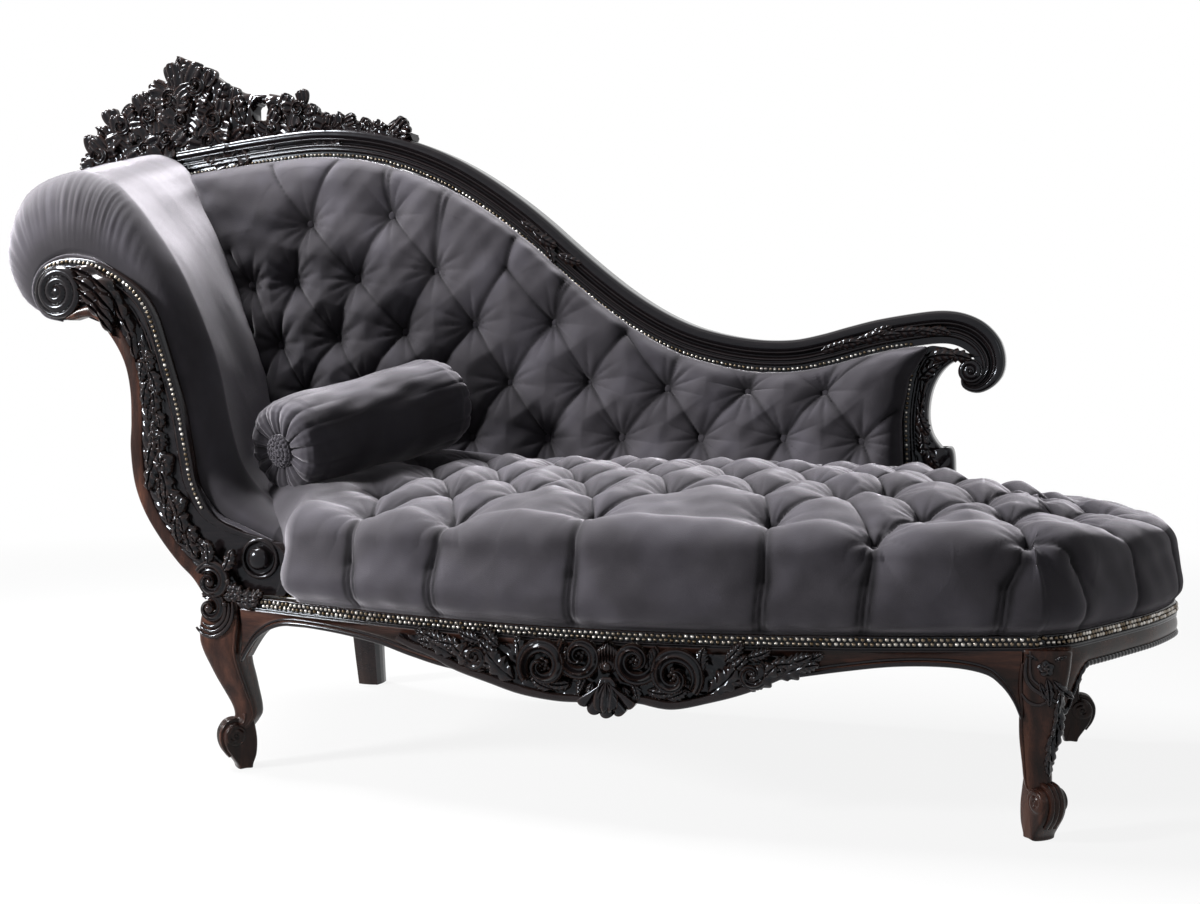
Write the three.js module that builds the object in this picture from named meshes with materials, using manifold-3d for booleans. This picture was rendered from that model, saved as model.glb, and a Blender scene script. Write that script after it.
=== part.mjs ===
// Fainting couch: carved frame on cabriole legs, rolled head arm, sweeping back rail, buttoned upholstery
import * as THREE from "three";
import { mergeVertices } from "three/addons/utils/BufferGeometryUtils.js";
import Module from "manifold-3d";

const wasm = await Module();
wasm.setup();

// A value part of the way from one size to another
const mix = (a, b, t) => a + (b - a) * t;

// Overall sizes in millimetres: x runs from the front head foot to the foot end, y to the back, z up
const couchLength = 1940;
const couchDepth = 700;
const couchHeight = 1150;
const seatFrameHeight = 262;
const clearance = 0.3;
const cutOverrun = 5;

// Seat frame
const railThickness = 30;
const railHeight = 47;
const railBow = 58;
const railSag = 11;
const frontFaceY = -18;
const backFrameY = 520;
const backFrameThickness = 32;
const beadDepth = 6;
const beadHeight = 13;
const nailStripWidth = 11;
const nailStripThickness = 2;
const tenonThickness = 10;
const tenonLength = 22;
const tenonHeight = 30;
const tenonGap = 0.25;

// Legs
const blockHalf = 28;
const blockDrop = 84;
const kneeHalf = 35;
const ankleHalf = 22;
const kneeReach = 9;
const toeReach = 16;
const toeScrollReach = 27;
const toeScrollRadius = 16;
const toeScrollLength = 36;
const toeScrollHeight = 38;
const footPadHalf = 17;
const backLegFootHalf = 21;
const backLegRake = 56;
const backLegSplay = 14;
const frontLegY = 10;
const backHeadLegY = 548;
const backFootLegY = 545;
const frontHeadLegShare = 0.0062;
const frontFootLegShare = 0.5902;
const backHeadLegShare = -0.0216;
const backFootLegShare = 0.6155;
const frontHeadLegPlace = new THREE.Vector2(frontHeadLegShare * couchLength, frontLegY);
const frontFootLegPlace = new THREE.Vector2(frontFootLegShare * couchLength, frontLegY);
const backHeadLegPlace = new THREE.Vector2(backHeadLegShare * couchLength, backHeadLegY);
const backFootLegPlace = new THREE.Vector2(backFootLegShare * couchLength, backFootLegY);
const frontLegSpan = frontFootLegPlace.x - frontHeadLegPlace.x;

// Head arm
const facingThickness = 28;
const facingBevel = 4;
const armPadFront = 11;
const armPadBack = 518;
const armLowerRailWidth = 34;
const armLowerRailHeight = 42;
const coverThickness = 2.4;
const bossRadius = 28;
const bossBallRadius = 15;
const bossDepth = 13;
const bossSides = 16;

// Back
const backRailWidth = 52;
const backRailFrontY = 500;
const backRailDepth = 58;
const scrollTurns = 1.2;
const scrollRadius = 28;
const scrollEndWidth = 16;
const stileFrontY = 504;
const stileDepth = 46;
const postWidth = 46;
const postDepth = 28;
const backPostShares = [0.0062, 0.155, 0.32];
const backPostXs = backPostShares.map((share) => share * couchLength);
const stuffingRailHeight = 44;
const stuffingRailRise = 66;
const crestFrontY = 521;
const crestThickness = 30;
const crestHoleRadius = 13;
const crestScrollReach = 44;

// Upholstery
const seatPadHeight = 127;
const seatCrown = 62;
const seatBulge = 12;
const seatLeftFrontShare = 0.0582;
const seatLeftFrontX = seatLeftFrontShare * couchLength;
const seatLeftTuck = 45;
const seatLeftBackX = -185;
const seatBackY = 427;
const seatFootBackY = 556;
const seatBorderWidth = 64;
const tuftPitch = 133;
const seatTuftRow = 92;
const backTuftRow = 94;
const tuftDepth = 15;
const tuftRadius = 30;
const pleatDepth = 6;
const pleatRadius = 11;
const backPadEdge = 20;
const backPadDeep = 72;
const backPadShallow = 36;
const backPadLift = 38;
const backPadBottom = seatFrameHeight + backPadLift;

// Springing
const webStrapWidth = 50;
const webStrapThickness = 2.4;
const braceThickness = 20;
const braceWidth = 58;
const braceShares = [0.28, 0.52, 0.76];
const braceXs = braceShares.map((share) => frontHeadLegPlace.x + share * frontLegSpan);
const cornerBlockReach = 62;
const springColumnShares = [0.2, 0.41, 0.64, 0.87];
const springRowShares = [0.22, 0.57];
const springColumns = springColumnShares.map((share) => frontHeadLegPlace.x + share * frontLegSpan);
const springRows = springRowShares.map((share) => mix(frontLegY, backHeadLegY, share));
const springHeight = 96;
const springEndRadius = 36;
const springWaistRadius = 27;
const springWire = 1.9;
const springTurns = 4;

// Bolster pillow
const bolsterRadius = 75;
const bolsterFrontRise = 208;
const bolsterBackRise = 268;
const bolsterFront = new THREE.Vector3(62, 76, seatFrameHeight + bolsterFrontRise);
const bolsterBack = new THREE.Vector3(172, 372, seatFrameHeight + bolsterBackRise);
const bolsterDome = 12;
const bolsterEdge = 22;
const rosetteRadius = 20;
const rosetteDepth = 7;

// Carved relief
const reliefThickness = 9;
const scrollStemRadius = 7;
const scrollTipRadius = 3;
const leafLobeLength = 26;
const leafLobeWidth = 11;

// Outlines seen from the front, as shares of the couch's length and height
const railBottomShares = [
  [0.0, 0.13], [0.026, 0.157], [0.037, 0.181], [0.062, 0.195], [0.099, 0.194], [0.143, 0.183],
  [0.167, 0.17], [0.198, 0.157], [0.243, 0.152], [0.301, 0.15], [0.367, 0.152], [0.408, 0.16],
  [0.436, 0.17], [0.469, 0.183], [0.501, 0.192], [0.534, 0.193], [0.559, 0.185], [0.57, 0.168],
  [0.58, 0.139],
];
const apronBottomShares = [
  [0.158, 0.178], [0.17, 0.166], [0.198, 0.136], [0.243, 0.12], [0.28, 0.12], [0.301, 0.107],
  [0.324, 0.122], [0.367, 0.122], [0.408, 0.142], [0.434, 0.163], [0.446, 0.178],
];
const facingUpperShares = [
  [-0.16, 0.611], [-0.151, 0.639], [-0.122, 0.654], [-0.095, 0.64], [-0.07, 0.605], [-0.053, 0.56],
  [-0.043, 0.516], [-0.035, 0.458], [-0.028, 0.408], [-0.02, 0.357], [0.001, 0.32],
  [0.022, 0.308], [0.038, 0.297], [0.055, 0.278],
];
const facingLowerShares = [
  [-0.022, 0.242], [-0.043, 0.272], [-0.064, 0.317], [-0.077, 0.38], [-0.076, 0.432], [-0.075, 0.497],
  [-0.084, 0.535], [-0.096, 0.561], [-0.119, 0.577], [-0.141, 0.571], [-0.155, 0.581],
];
const facingFootShares = [[0.0575, 0.25], [0.0555, 0.2286], [-0.0125, 0.2286]];
const volutePlaceShare = [-0.139, 0.613];
const bossPlaceShare = [0.0345, 0.2765];
const armPadFrontShares = [
  [-0.135, 0.57], [-0.176, 0.599], [-0.193, 0.668], [-0.176, 0.737], [-0.135, 0.765], [-0.106, 0.752],
  [-0.087, 0.726], [-0.067, 0.687], [-0.044, 0.633], [-0.025, 0.57], [-0.011, 0.504], [-0.003, 0.443],
  [0.006, 0.391], [0.02, 0.358], [0.037, 0.337], [0.055, 0.32],
];
const armCoreFrontShares = [
  [-0.135, 0.63], [-0.151, 0.641], [-0.158, 0.668], [-0.151, 0.695], [-0.135, 0.706], [-0.124, 0.701],
  [-0.113, 0.685], [-0.094, 0.645], [-0.071, 0.609], [-0.054, 0.561], [-0.043, 0.513], [-0.035, 0.452],
  [-0.027, 0.396], [-0.018, 0.358], [0.001, 0.322], [0.054, 0.283],
];
const armPadBackShares = [
  [-0.235, 0.626], [-0.282, 0.659], [-0.302, 0.739], [-0.282, 0.819], [-0.235, 0.852], [-0.201, 0.837],
  [-0.184, 0.804], [-0.176, 0.774], [-0.16, 0.722], [-0.139, 0.639], [-0.121, 0.557], [-0.107, 0.487],
  [-0.097, 0.417], [-0.085, 0.37], [-0.072, 0.343], [-0.057, 0.322],
];
const armCoreBackShares = [
  [-0.235, 0.696], [-0.253, 0.709], [-0.26, 0.739], [-0.253, 0.77], [-0.235, 0.783], [-0.222, 0.777],
  [-0.214, 0.765], [-0.205, 0.739], [-0.189, 0.696], [-0.168, 0.622], [-0.151, 0.543], [-0.136, 0.474],
  [-0.125, 0.409], [-0.113, 0.352], [-0.093, 0.315], [-0.058, 0.283],
];
const armCoreRadiusShares = [[0.0196, 0.033], [0.0227, 0.0383]];
const rollFrontPlaceShare = [-0.135, 0.668];
const rollBackPlaceShare = [-0.235, 0.739];
const armCoverBackShares = [
  [-0.047, 0.242], [-0.07, 0.272], [-0.103, 0.317], [-0.131, 0.38], [-0.142, 0.432], [-0.155, 0.497],
  [-0.173, 0.557], [-0.193, 0.6], [-0.216, 0.617],
];
const rearSupportShares = [
  [-0.036, 0.2284], [-0.062, 0.262], [-0.096, 0.317], [-0.124, 0.38], [-0.135, 0.432], [-0.148, 0.497],
  [-0.166, 0.557], [-0.188, 0.612], [-0.225, 0.665], [-0.258, 0.692], [-0.272, 0.735], [-0.26, 0.787],
  [-0.235, 0.803], [-0.207, 0.787], [-0.185, 0.739], [-0.158, 0.661], [-0.138, 0.574], [-0.122, 0.496],
  [-0.11, 0.417], [-0.096, 0.357], [-0.078, 0.304], [-0.045, 0.27], [-0.012, 0.2284],
];
const backRailPathShares = [
  [-0.174, 0.827], [-0.129, 0.832], [-0.077, 0.837], [-0.01, 0.84], [0.032, 0.84], [0.075, 0.81],
  [0.123, 0.761], [0.169, 0.703], [0.21, 0.645], [0.26, 0.59], [0.304, 0.551], [0.339, 0.535],
  [0.39, 0.532], [0.432, 0.547], [0.473, 0.562], [0.503, 0.562],
];
const scrollPlaceShare = [0.531, 0.519];
const stileShares = [
  [0.495, 0.535], [0.481, 0.497], [0.4755, 0.439], [0.477, 0.38], [0.477, 0.2284], [0.513, 0.2284],
  [0.516, 0.34], [0.52, 0.384], [0.505, 0.404], [0.497, 0.432], [0.4955, 0.467], [0.502, 0.495],
  [0.513, 0.52],
];
const crestTopShares = [
  [-0.305, 0.859], [-0.301, 0.88], [-0.29, 0.882], [-0.283, 0.907], [-0.268, 0.913], [-0.254, 0.937],
  [-0.235, 0.935], [-0.228, 0.962], [-0.214, 0.966], [-0.205, 0.99], [-0.191, 0.998], [-0.178, 0.985],
  [-0.166, 0.981], [-0.156, 0.96], [-0.143, 0.955], [-0.13, 0.938], [-0.108, 0.943], [-0.087, 0.93],
  [-0.072, 0.918], [-0.054, 0.9], [-0.04, 0.902], [-0.026, 0.888], [-0.006, 0.886], [0.02, 0.874],
  [0.036, 0.866],
];
const crestBottomShares = [
  [0.036, 0.853], [-0.174, 0.84], [-0.19, 0.8], [-0.235, 0.79], [-0.262, 0.775], [-0.288, 0.79],
  [-0.303, 0.83],
];
const crestHoleShare = [-0.12, 0.911];
const footEdgeShares = [
  [0.588, -0.02], [0.606, 0.02], [0.6215, 0.088], [0.6408, 0.183], [0.662, 0.295], [0.6765, 0.4],
  [0.6806, 0.464], [0.676, 0.55], [0.664, 0.645], [0.645, 0.735], [0.62, 0.803],
];

// Finishes
const finish = (color, roughness, metalness = 0) =>
  new THREE.MeshStandardMaterial({ color, roughness, metalness });
const ebonised = () => finish(0x17151a, 0.25);
const mahogany = () => finish(0x2a1513, 0.3);
const velvet = () => finish(0x4a484d, 0.9);
const liningCloth = () => finish(0x1b1b1d, 0.95);
const jute = () => finish(0x9b8660, 0.95);
const beech = () => finish(0xb08a5a, 0.7);
const springSteel = () => finish(0x85888c, 0.4, 1);
const nailMetal = () => finish(0x8b877c, 0.35, 1);

const couch = new THREE.Group();

function addPart(name, geometry, material) {
  geometry.computeVertexNormals();
  const mesh = new THREE.Mesh(geometry, material);
  mesh.name = name;
  couch.add(mesh);
}

// Outline helpers
const point = (x, y) => new THREE.Vector2(x, y);

// A height share counts up to the seat frame in the seat frame's height, and above it in the rest
const seatFrameShare = 0.22783;
const shareHeight = (couchHeight - seatFrameHeight) / (1 - seatFrameShare);
function heightOf(share) {
  if (share < seatFrameShare) return (share / seatFrameShare) * seatFrameHeight;
  return seatFrameHeight + (share - seatFrameShare) * shareHeight;
}

const frontPoints = (shares) => shares.map(([x, z]) => point(x * couchLength, heightOf(z)));
const planPoints = (shares) => shares.map(([x, y]) => point(x * couchLength, y * couchDepth));
const frontPoint = (share) => frontPoints([share])[0];
const smooth = (points, steps) => new THREE.SplineCurve(points).getSpacedPoints(steps);

// The height of a polyline at x, for points that run along x
function heightAt(points, x) {
  const rising = points[0].x < points[points.length - 1].x ? points : [...points].reverse();
  const next = rising.findIndex((p) => p.x > x);
  if (next === 0) return rising[0].y;
  if (next < 0) return rising[rising.length - 1].y;
  const [a, b] = [rising[next - 1], rising[next]];
  return mix(a.y, b.y, (x - a.x) / (b.x - a.x));
}

// The x of a polyline at height z, for points that run along z
const acrossAt = (points, z) => heightAt(points.map((p) => point(p.y, p.x)), z);

// Points at even arc length along a polyline
function resample(points, steps) {
  const path = new THREE.CurvePath();
  for (let i = 1; i < points.length; i++) path.add(new THREE.LineCurve(points[i - 1], points[i]));
  return Array.from({ length: steps + 1 }, (_, i) => path.getPointAt(i / steps));
}

// The normal on the right of a polyline's travel, at each of its points
function rightNormals(points) {
  return points.map((_, i) => {
    const before = points[Math.max(i - 1, 0)];
    const after = points[Math.min(i + 1, points.length - 1)];
    const along = after.clone().sub(before).normalize();
    return point(along.y, -along.x);
  });
}

const offsetPath = (points, distance) => {
  const normals = rightNormals(points);
  return points.map((p, i) => p.clone().addScaledVector(normals[i], distance));
};

const roundPoints = (place, radius, count) =>
  Array.from({ length: count }, (_, k) => {
    const turn = (2 * Math.PI * k) / count;
    return point(place.x + radius * Math.cos(turn), place.y + radius * Math.sin(turn));
  });

// Solids
function capTriangles(ring, first) {
  const normal = new THREE.Vector3();
  ring.forEach((p, i) => {
    const q = ring[(i + 1) % ring.length];
    normal.x += (p.y - q.y) * (p.z + q.z);
    normal.y += (p.z - q.z) * (p.x + q.x);
    normal.z += (p.x - q.x) * (p.y + q.y);
  });
  const size = normal.clone().set(Math.abs(normal.x), Math.abs(normal.y), Math.abs(normal.z));
  const flat = ring.map((p) => {
    if (size.x >= size.y && size.x >= size.z) return point(p.y, p.z);
    return size.y >= size.z ? point(p.z, p.x) : point(p.x, p.y);
  });
  const turn = Math.sign(THREE.ShapeUtils.area(flat));
  return THREE.ShapeUtils.triangulateShape(flat, []).map(([a, b, c]) => {
    const same = Math.sign(THREE.ShapeUtils.area([flat[a], flat[b], flat[c]])) === turn;
    return same ? [first + a, first + b, first + c] : [first + a, first + c, first + b];
  });
}

// A closed body through rings of equally many points, capped at both ends and facing outwards
function loft(rings) {
  const count = rings[0].length;
  const lastRing = (rings.length - 1) * count;
  const faces = [];
  for (let r = 0; r < lastRing; r += count)
    for (let i = 0; i < count; i++) {
      const j = (i + 1) % count;
      faces.push([r + i, r + j, r + count + j], [r + i, r + count + j, r + count + i]);
    }
  faces.push(...capTriangles(rings[0], 0).map(([a, b, c]) => [a, c, b]));
  faces.push(...capTriangles(rings[rings.length - 1], lastRing));
  const points = rings.flat();
  const cone = ([a, b, c]) => points[a].dot(points[b].clone().cross(points[c]));
  const volume = faces.reduce((sum, face) => sum + cone(face), 0);
  const outward = volume > 0 ? faces : faces.map(([a, b, c]) => [a, c, b]);
  const geometry = new THREE.BufferGeometry().setFromPoints(points);
  geometry.setIndex(outward.flat());
  return geometry;
}

function solidOf(geometry) {
  const bare = geometry.clone();
  bare.deleteAttribute("normal");
  bare.deleteAttribute("uv");
  const merged = mergeVertices(bare);
  const mesh = new wasm.Mesh({
    numProp: 3,
    vertProperties: merged.attributes.position.array,
    triVerts: new Uint32Array(merged.index.array),
  });
  return new wasm.Manifold(mesh);
}

function geometryOf(solid) {
  const mesh = solid.getMesh();
  const geometry = new THREE.BufferGeometry();
  geometry.setAttribute("position", new THREE.BufferAttribute(Float32Array.from(mesh.vertProperties), 3));
  geometry.setIndex(Array.from(mesh.triVerts));
  return geometry;
}

const join = (body, ...more) =>
  geometryOf(more.reduce((all, next) => all.add(solidOf(next)), solidOf(body)));
const cut = (body, ...tools) =>
  geometryOf(tools.reduce((left, tool) => left.subtract(solidOf(tool)), solidOf(body)));
const trim = (body, ...tools) => largestBody(cut(body, ...tools));
const moved = (geometry, x, y, z) => geometry.clone().translate(x, y, z);

function boxBetween(x0, x1, y0, y1, z0, z1) {
  const box = new THREE.BoxGeometry(x1 - x0, y1 - y0, z1 - z0);
  return box.translate((x0 + x1) / 2, (y0 + y1) / 2, (z0 + z1) / 2);
}

// A plate with a front-view outline, from its front face at y back through its thickness
function frontPlate(outline, y, thickness, bevel = 0, holes = []) {
  const shape = new THREE.Shape(outline);
  shape.holes = holes;
  const plate = new THREE.ExtrudeGeometry(shape, {
    depth: thickness - 2 * bevel,
    bevelEnabled: bevel > 0,
    bevelThickness: bevel,
    bevelSize: bevel,
    bevelOffset: -bevel,
    bevelSegments: 1,
    curveSegments: 5,
  });
  return plate.rotateX(Math.PI / 2).translate(0, y + thickness - bevel, 0);
}

// A plate with a plan outline, from z up through its thickness
function planPlate(outline, z, thickness) {
  const options = { depth: thickness, bevelEnabled: false };
  return new THREE.ExtrudeGeometry(new THREE.Shape(outline), options).translate(0, 0, z);
}

// A round bar of changing radius through a row of places
function taperedBar(places, radii, sides) {
  const curve = new THREE.CatmullRomCurve3(places);
  const frames = curve.computeFrenetFrames(places.length - 1, false);
  return loft(
    places.map((_, i) => {
      const share = i / (places.length - 1);
      const centre = curve.getPoint(share);
      return Array.from({ length: sides }, (_, k) => {
        const turn = (2 * Math.PI * k) / sides;
        const across = frames.normals[i].clone().multiplyScalar(Math.cos(turn) * radii[i]);
        return centre.clone().add(across).addScaledVector(frames.binormals[i], Math.sin(turn) * radii[i]);
      });
    }),
  );
}

// A carved C-scroll lying in a front plane: a spiral stem that thins towards its eye
function carvedScroll(place, y, size, turns, startTurn, hand) {
  const steps = Math.round(turns * 6);
  const places = Array.from({ length: steps + 1 }, (_, i) => {
    const share = i / steps;
    const turn = startTurn + hand * share * turns * 2 * Math.PI;
    const reach = size * (1 - 0.78 * share);
    return new THREE.Vector3(place.x + reach * Math.cos(turn), y, place.y + reach * Math.sin(turn));
  });
  return taperedBar(places, places.map((_, i) => mix(scrollStemRadius, scrollTipRadius, i / steps)), 5);
}

// A carved leaf lobe: a flattened egg lying in a front plane
function carvedLobe(place, y, turn, scale) {
  const lobe = new THREE.SphereGeometry(1, 5, 4);
  lobe.scale(leafLobeLength * scale, reliefThickness, leafLobeWidth * scale);
  return lobe.rotateY(-turn).translate(place.x, y, place.y);
}

// The seat's outer edge in plan
const frontBow = (x) => Math.sin((Math.PI * (x - frontHeadLegPlace.x)) / frontLegSpan);
const frontEdgeY = (x) => frontFaceY - railBow * frontBow(x);
const frontRailTop = (x) => seatFrameHeight - railSag * frontBow(x);
const frontEdge = (from, to, steps) =>
  Array.from({ length: steps + 1 }, (_, i) => {
    const x = mix(from, to, i / steps);
    return point(x, frontEdgeY(x));
  });
const footEdge = smooth(planPoints(footEdgeShares), 30);
const railBottom = smooth(frontPoints(railBottomShares), 60);

// A moulded rail's section: how far out and how high, with a bead along its bottom and one under the nails
function railSection(bottom, top) {
  const nailLine = top - nailStripWidth - nailStripThickness;
  return [
    [-railThickness, bottom],
    [0, bottom],
    [beadDepth, bottom + 0.25 * beadHeight],
    [beadDepth, bottom + 0.75 * beadHeight],
    [0, bottom + beadHeight],
    [0, nailLine - 0.8 * beadHeight],
    [beadDepth, nailLine - 0.6 * beadHeight],
    [beadDepth, nailLine - 0.2 * beadHeight],
    [0, nailLine],
    [0, top],
    [-railThickness, top],
  ];
}

// A rail or strip swept along a plan path, with its section given by station
function planSweep(path, sectionAt, outs = rightNormals(path)) {
  return loft(
    path.map((p, i) =>
      sectionAt(p).map(([out, z]) => new THREE.Vector3(p.x + outs[i].x * out, p.y + outs[i].y * out, z)),
    ),
  );
}

// Legs

// A ring of a leg: a square with rounded corners when squareness is high, a circle at 2
function legRing(x, y, z, half, squareness) {
  return Array.from({ length: 12 }, (_, k) => {
    const turn = (2 * Math.PI * (k + 0.5)) / 12;
    const [c, s] = [Math.cos(turn), Math.sin(turn)];
    const reach = half / (Math.abs(c) ** squareness + Math.abs(s) ** squareness) ** (1 / squareness);
    return new THREE.Vector3(x + reach * c, y + reach * s, z);
  });
}

const blockSquareness = 6;
const legBlock = (place, grow) =>
  loft(
    [seatFrameHeight - blockDrop - grow, seatFrameHeight + grow].map((z) =>
      legRing(place.x, place.y, z, blockHalf + grow, blockSquareness),
    ),
  );

// Height share of the seat frame, reach outwards, half width and squareness down a cabriole leg
const cabrioleStationShares = [
  [0.8, 0, blockHalf * 0.96, 5],
  [0.74, kneeReach * 0.5, kneeHalf * 0.92, 3],
  [0.64, kneeReach, kneeHalf, 2.6],
  [0.54, kneeReach * 0.8, kneeHalf * 0.9, 2.4],
  [0.43, kneeReach * 0.1, mix(ankleHalf, kneeHalf, 0.35), 2.2],
  [0.33, -kneeReach * 0.4, ankleHalf * 1.05, 2],
  [0.25, -kneeReach * 0.4, ankleHalf, 2],
  [0.17, toeReach * 0.15, ankleHalf * 1.08, 2],
  [0.09, toeReach * 0.7, ankleHalf * 1.12, 2],
  [0.03, toeReach, ankleHalf, 2],
  [0, toeReach, footPadHalf, 2],
];

function cabrioleLeg(place, outX, outY, grow = 0) {
  const shank = loft(
    cabrioleStationShares.map(([heightShare, reach, half, squareness]) => {
      const [x, y] = [place.x + outX * reach, place.y + outY * reach];
      return legRing(x, y, heightShare * seatFrameHeight, half + grow, squareness);
    }),
  );
  const toe = new THREE.CylinderGeometry(toeScrollRadius, toeScrollRadius, toeScrollLength, 14);
  toe.rotateZ(Math.atan2(outY, outX));
  toe.translate(place.x + outX * toeScrollReach, place.y + outY * toeScrollReach, toeScrollHeight);
  const [eyeRadius, eyeLength] = [toeScrollRadius / 2, toeScrollLength + beadDepth];
  const eye = new THREE.CylinderGeometry(eyeRadius, eyeRadius, eyeLength, 8);
  eye.rotateZ(Math.atan2(outY, outX));
  eye.translate(place.x + outX * toeScrollReach, place.y + outY * toeScrollReach, toeScrollHeight);
  return join(shank, toe, eye, legBlock(place, grow));
}

function rakedLeg(place, grow = 0) {
  const shank = loft(
    [0, 0.375, 0.75, 1].map((rake) => {
      const share = 0.8 * (1 - rake);
      const half = mix(blockHalf * 0.96, backLegFootHalf, rake);
      const x = place.x - backLegSplay * rake ** 1.4;
      const y = place.y + backLegRake * rake ** 1.4;
      return legRing(x, y, share * seatFrameHeight, half + grow, blockSquareness);
    }),
  );
  return join(shank, legBlock(place, grow));
}

// Tenon and mortise: a tongue on the rail, and the same box grown by the glue gap in the leg
function tongue(x, y, alongX, grow) {
  const reach = tenonLength + grow;
  const half = tenonThickness / 2 + grow;
  const [halfX, halfY] = alongX ? [reach, half] : [half, reach];
  const z = seatFrameHeight - railHeight / 2;
  const [low, high] = [z - tenonHeight / 2 - grow, z + tenonHeight / 2 + grow];
  return boxBetween(x - halfX, x + halfX, y - halfY, y + halfY, low, high);
}

const frontTenonY = frontFaceY + railThickness / 2;
const headLegFace = frontHeadLegPlace.x + blockHalf;
const footLegFace = frontFootLegPlace.x - blockHalf;
const frontTenons = [headLegFace, footLegFace].map((x) => [x, frontTenonY, true]);
const backRailMiddleY = backFrameY + backFrameThickness / 2;
const backTenons = [backHeadLegPlace.x + blockHalf, backFootLegPlace.x - blockHalf].map((x) => [
  x,
  backRailMiddleY,
  true,
]);
const headTenons = [
  [frontHeadLegPlace.x - blockHalf / 4, frontHeadLegPlace.y + blockHalf, false],
  [backHeadLegPlace.x - blockHalf / 4, backHeadLegPlace.y - blockHalf, false],
];
const tongues = (places, grow) => places.map((place) => tongue(...place, grow));
const mortises = (...places) => tongues(places, tenonGap);
const diagonal = Math.SQRT1_2;
const legCuts = [
  cabrioleLeg(frontHeadLegPlace, -diagonal, -diagonal, clearance),
  cabrioleLeg(frontFootLegPlace, diagonal, -diagonal, clearance),
  rakedLeg(backHeadLegPlace, clearance),
  cabrioleLeg(backFootLegPlace, diagonal, diagonal, clearance),
];

function addLegs() {
  const frontHead = cabrioleLeg(frontHeadLegPlace, -diagonal, -diagonal);
  addPart("front_head_leg", cut(frontHead, ...mortises(frontTenons[0], headTenons[0])), mahogany());
  const frontFoot = cabrioleLeg(frontFootLegPlace, diagonal, -diagonal);
  addPart("front_foot_leg", cut(frontFoot, ...mortises(frontTenons[1])), mahogany());
  const backFoot = cabrioleLeg(backFootLegPlace, diagonal, diagonal);
  addPart("back_foot_leg", cut(backFoot, ...mortises(backTenons[1])), mahogany());
  const backHead = rakedLeg(backHeadLegPlace);
  addPart("back_head_leg", cut(backHead, ...mortises(backTenons[0], headTenons[1])), mahogany());
}

// Seat rails
const railFloor = seatFrameHeight - railHeight;
const headRailX = (y) => {
  const share = (y - frontHeadLegPlace.y) / (backHeadLegPlace.y - frontHeadLegPlace.y);
  return mix(frontHeadLegPlace.x, backHeadLegPlace.x, share) - blockHalf;
};

function addSeatRails() {
  const lip = blockHalf / 4;
  const frontPath = frontEdge(headLegFace - lip, footLegFace + lip, 26);
  const front = planSweep(frontPath, (p) => railSection(heightAt(railBottom, p.x), frontRailTop(p.x)));
  const frontTrimmed = cut(front, legCuts[0], legCuts[1]);
  addPart("front_seat_rail", join(frontTrimmed, ...tongues(frontTenons, 0)), mahogany());

  const backEnds = backTenons.map(([x]) => x);
  const [backY0, backY1] = [backFrameY, backFrameY + backFrameThickness];
  const back = boxBetween(backEnds[0], backEnds[1], backY0, backY1, railFloor, seatFrameHeight);
  const backTrimmed = cut(back, legCuts[2], legCuts[3]);
  addPart("back_seat_rail", join(backTrimmed, ...tongues(backTenons, 0)), beech());

  const headPath = [frontHeadLegPlace.y, backHeadLegPlace.y].map((y) => point(headRailX(y), y)).reverse();
  const head = planSweep(headPath, () => railSection(railFloor, seatFrameHeight));
  const headTrimmed = cut(head, legCuts[0], legCuts[2]);
  addPart("head_seat_rail", join(headTrimmed, ...tongues(headTenons, 0)), mahogany());

  const outs = rightNormals(footEdge);
  const seams = [0, 10, 20, footEdge.length - 1];
  ["front", "centre", "back"].forEach((name, i) => {
    const [from, to] = [seams[i], seams[i + 1]];
    const path = footEdge.slice(from, to + 1);
    path[0] = path[0].clone().lerp(path[1], clearance / path[0].distanceTo(path[1]));
    const rail = planSweep(path, () => railSection(railFloor, seatFrameHeight), outs.slice(from, to + 1));
    addPart(`foot_seat_rail_${name}`, trim(rail, legCuts[1], legCuts[3]), mahogany());
  });
}

// Corner blocks, cross braces, webbing and springs
const innerClear = railThickness + clearance;
const braceFloor = railFloor + 2 * coverThickness;
const braceTop = braceFloor + braceThickness;

// The opening inside the seat rails, in plan
function insideRails(inset) {
  const front = offsetPath(frontEdge(headLegFace, footLegFace, 14), -innerClear - inset);
  const foot = offsetPath(footEdge, -innerClear - clearance - inset).slice(2, -2);
  const backY = backFrameY - clearance - inset;
  const foremost = foot.filter((p) => p.y > front[front.length - 1].y && p.y < backY);
  const left = (y) => headRailX(y) + innerClear + inset;
  const backCorner = point(foremost[foremost.length - 1].x - railThickness / 2, backY);
  return [...front, ...foremost, backCorner, point(left(backY), backY)];
}

function addCornerBlocks() {
  const corners = [
    ["front_head", frontHeadLegPlace, 1, 1],
    ["front_foot", frontFootLegPlace, -1, 1],
    ["back_head", backHeadLegPlace, 1, -1],
    ["back_foot", backFootLegPlace, -1, -1],
  ];
  const opening = planPlate(insideRails(0), braceFloor, braceThickness);
  corners.forEach(([name, place, towardsX, towardsY]) => {
    const reach = blockHalf + cornerBlockReach;
    const triangle = [
      point(place.x, place.y),
      point(place.x + towardsX * reach, place.y),
      point(place.x, place.y + towardsY * reach),
    ];
    if (towardsX * towardsY < 0) triangle.reverse();
    const wedge = planPlate(triangle, braceFloor, braceThickness);
    const grown = legBlock(place, clearance);
    const within = geometryOf(solidOf(wedge).intersect(solidOf(opening)));
    addPart(`corner_block_${name}`, trim(within, grown), beech());
  });
}

// The largest of a solid's separate bodies
function largestBody(geometry) {
  const bodies = solidOf(geometry).decompose();
  return geometryOf(bodies.reduce((best, body) => (body.volume() > best.volume() ? body : best)));
}

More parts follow.
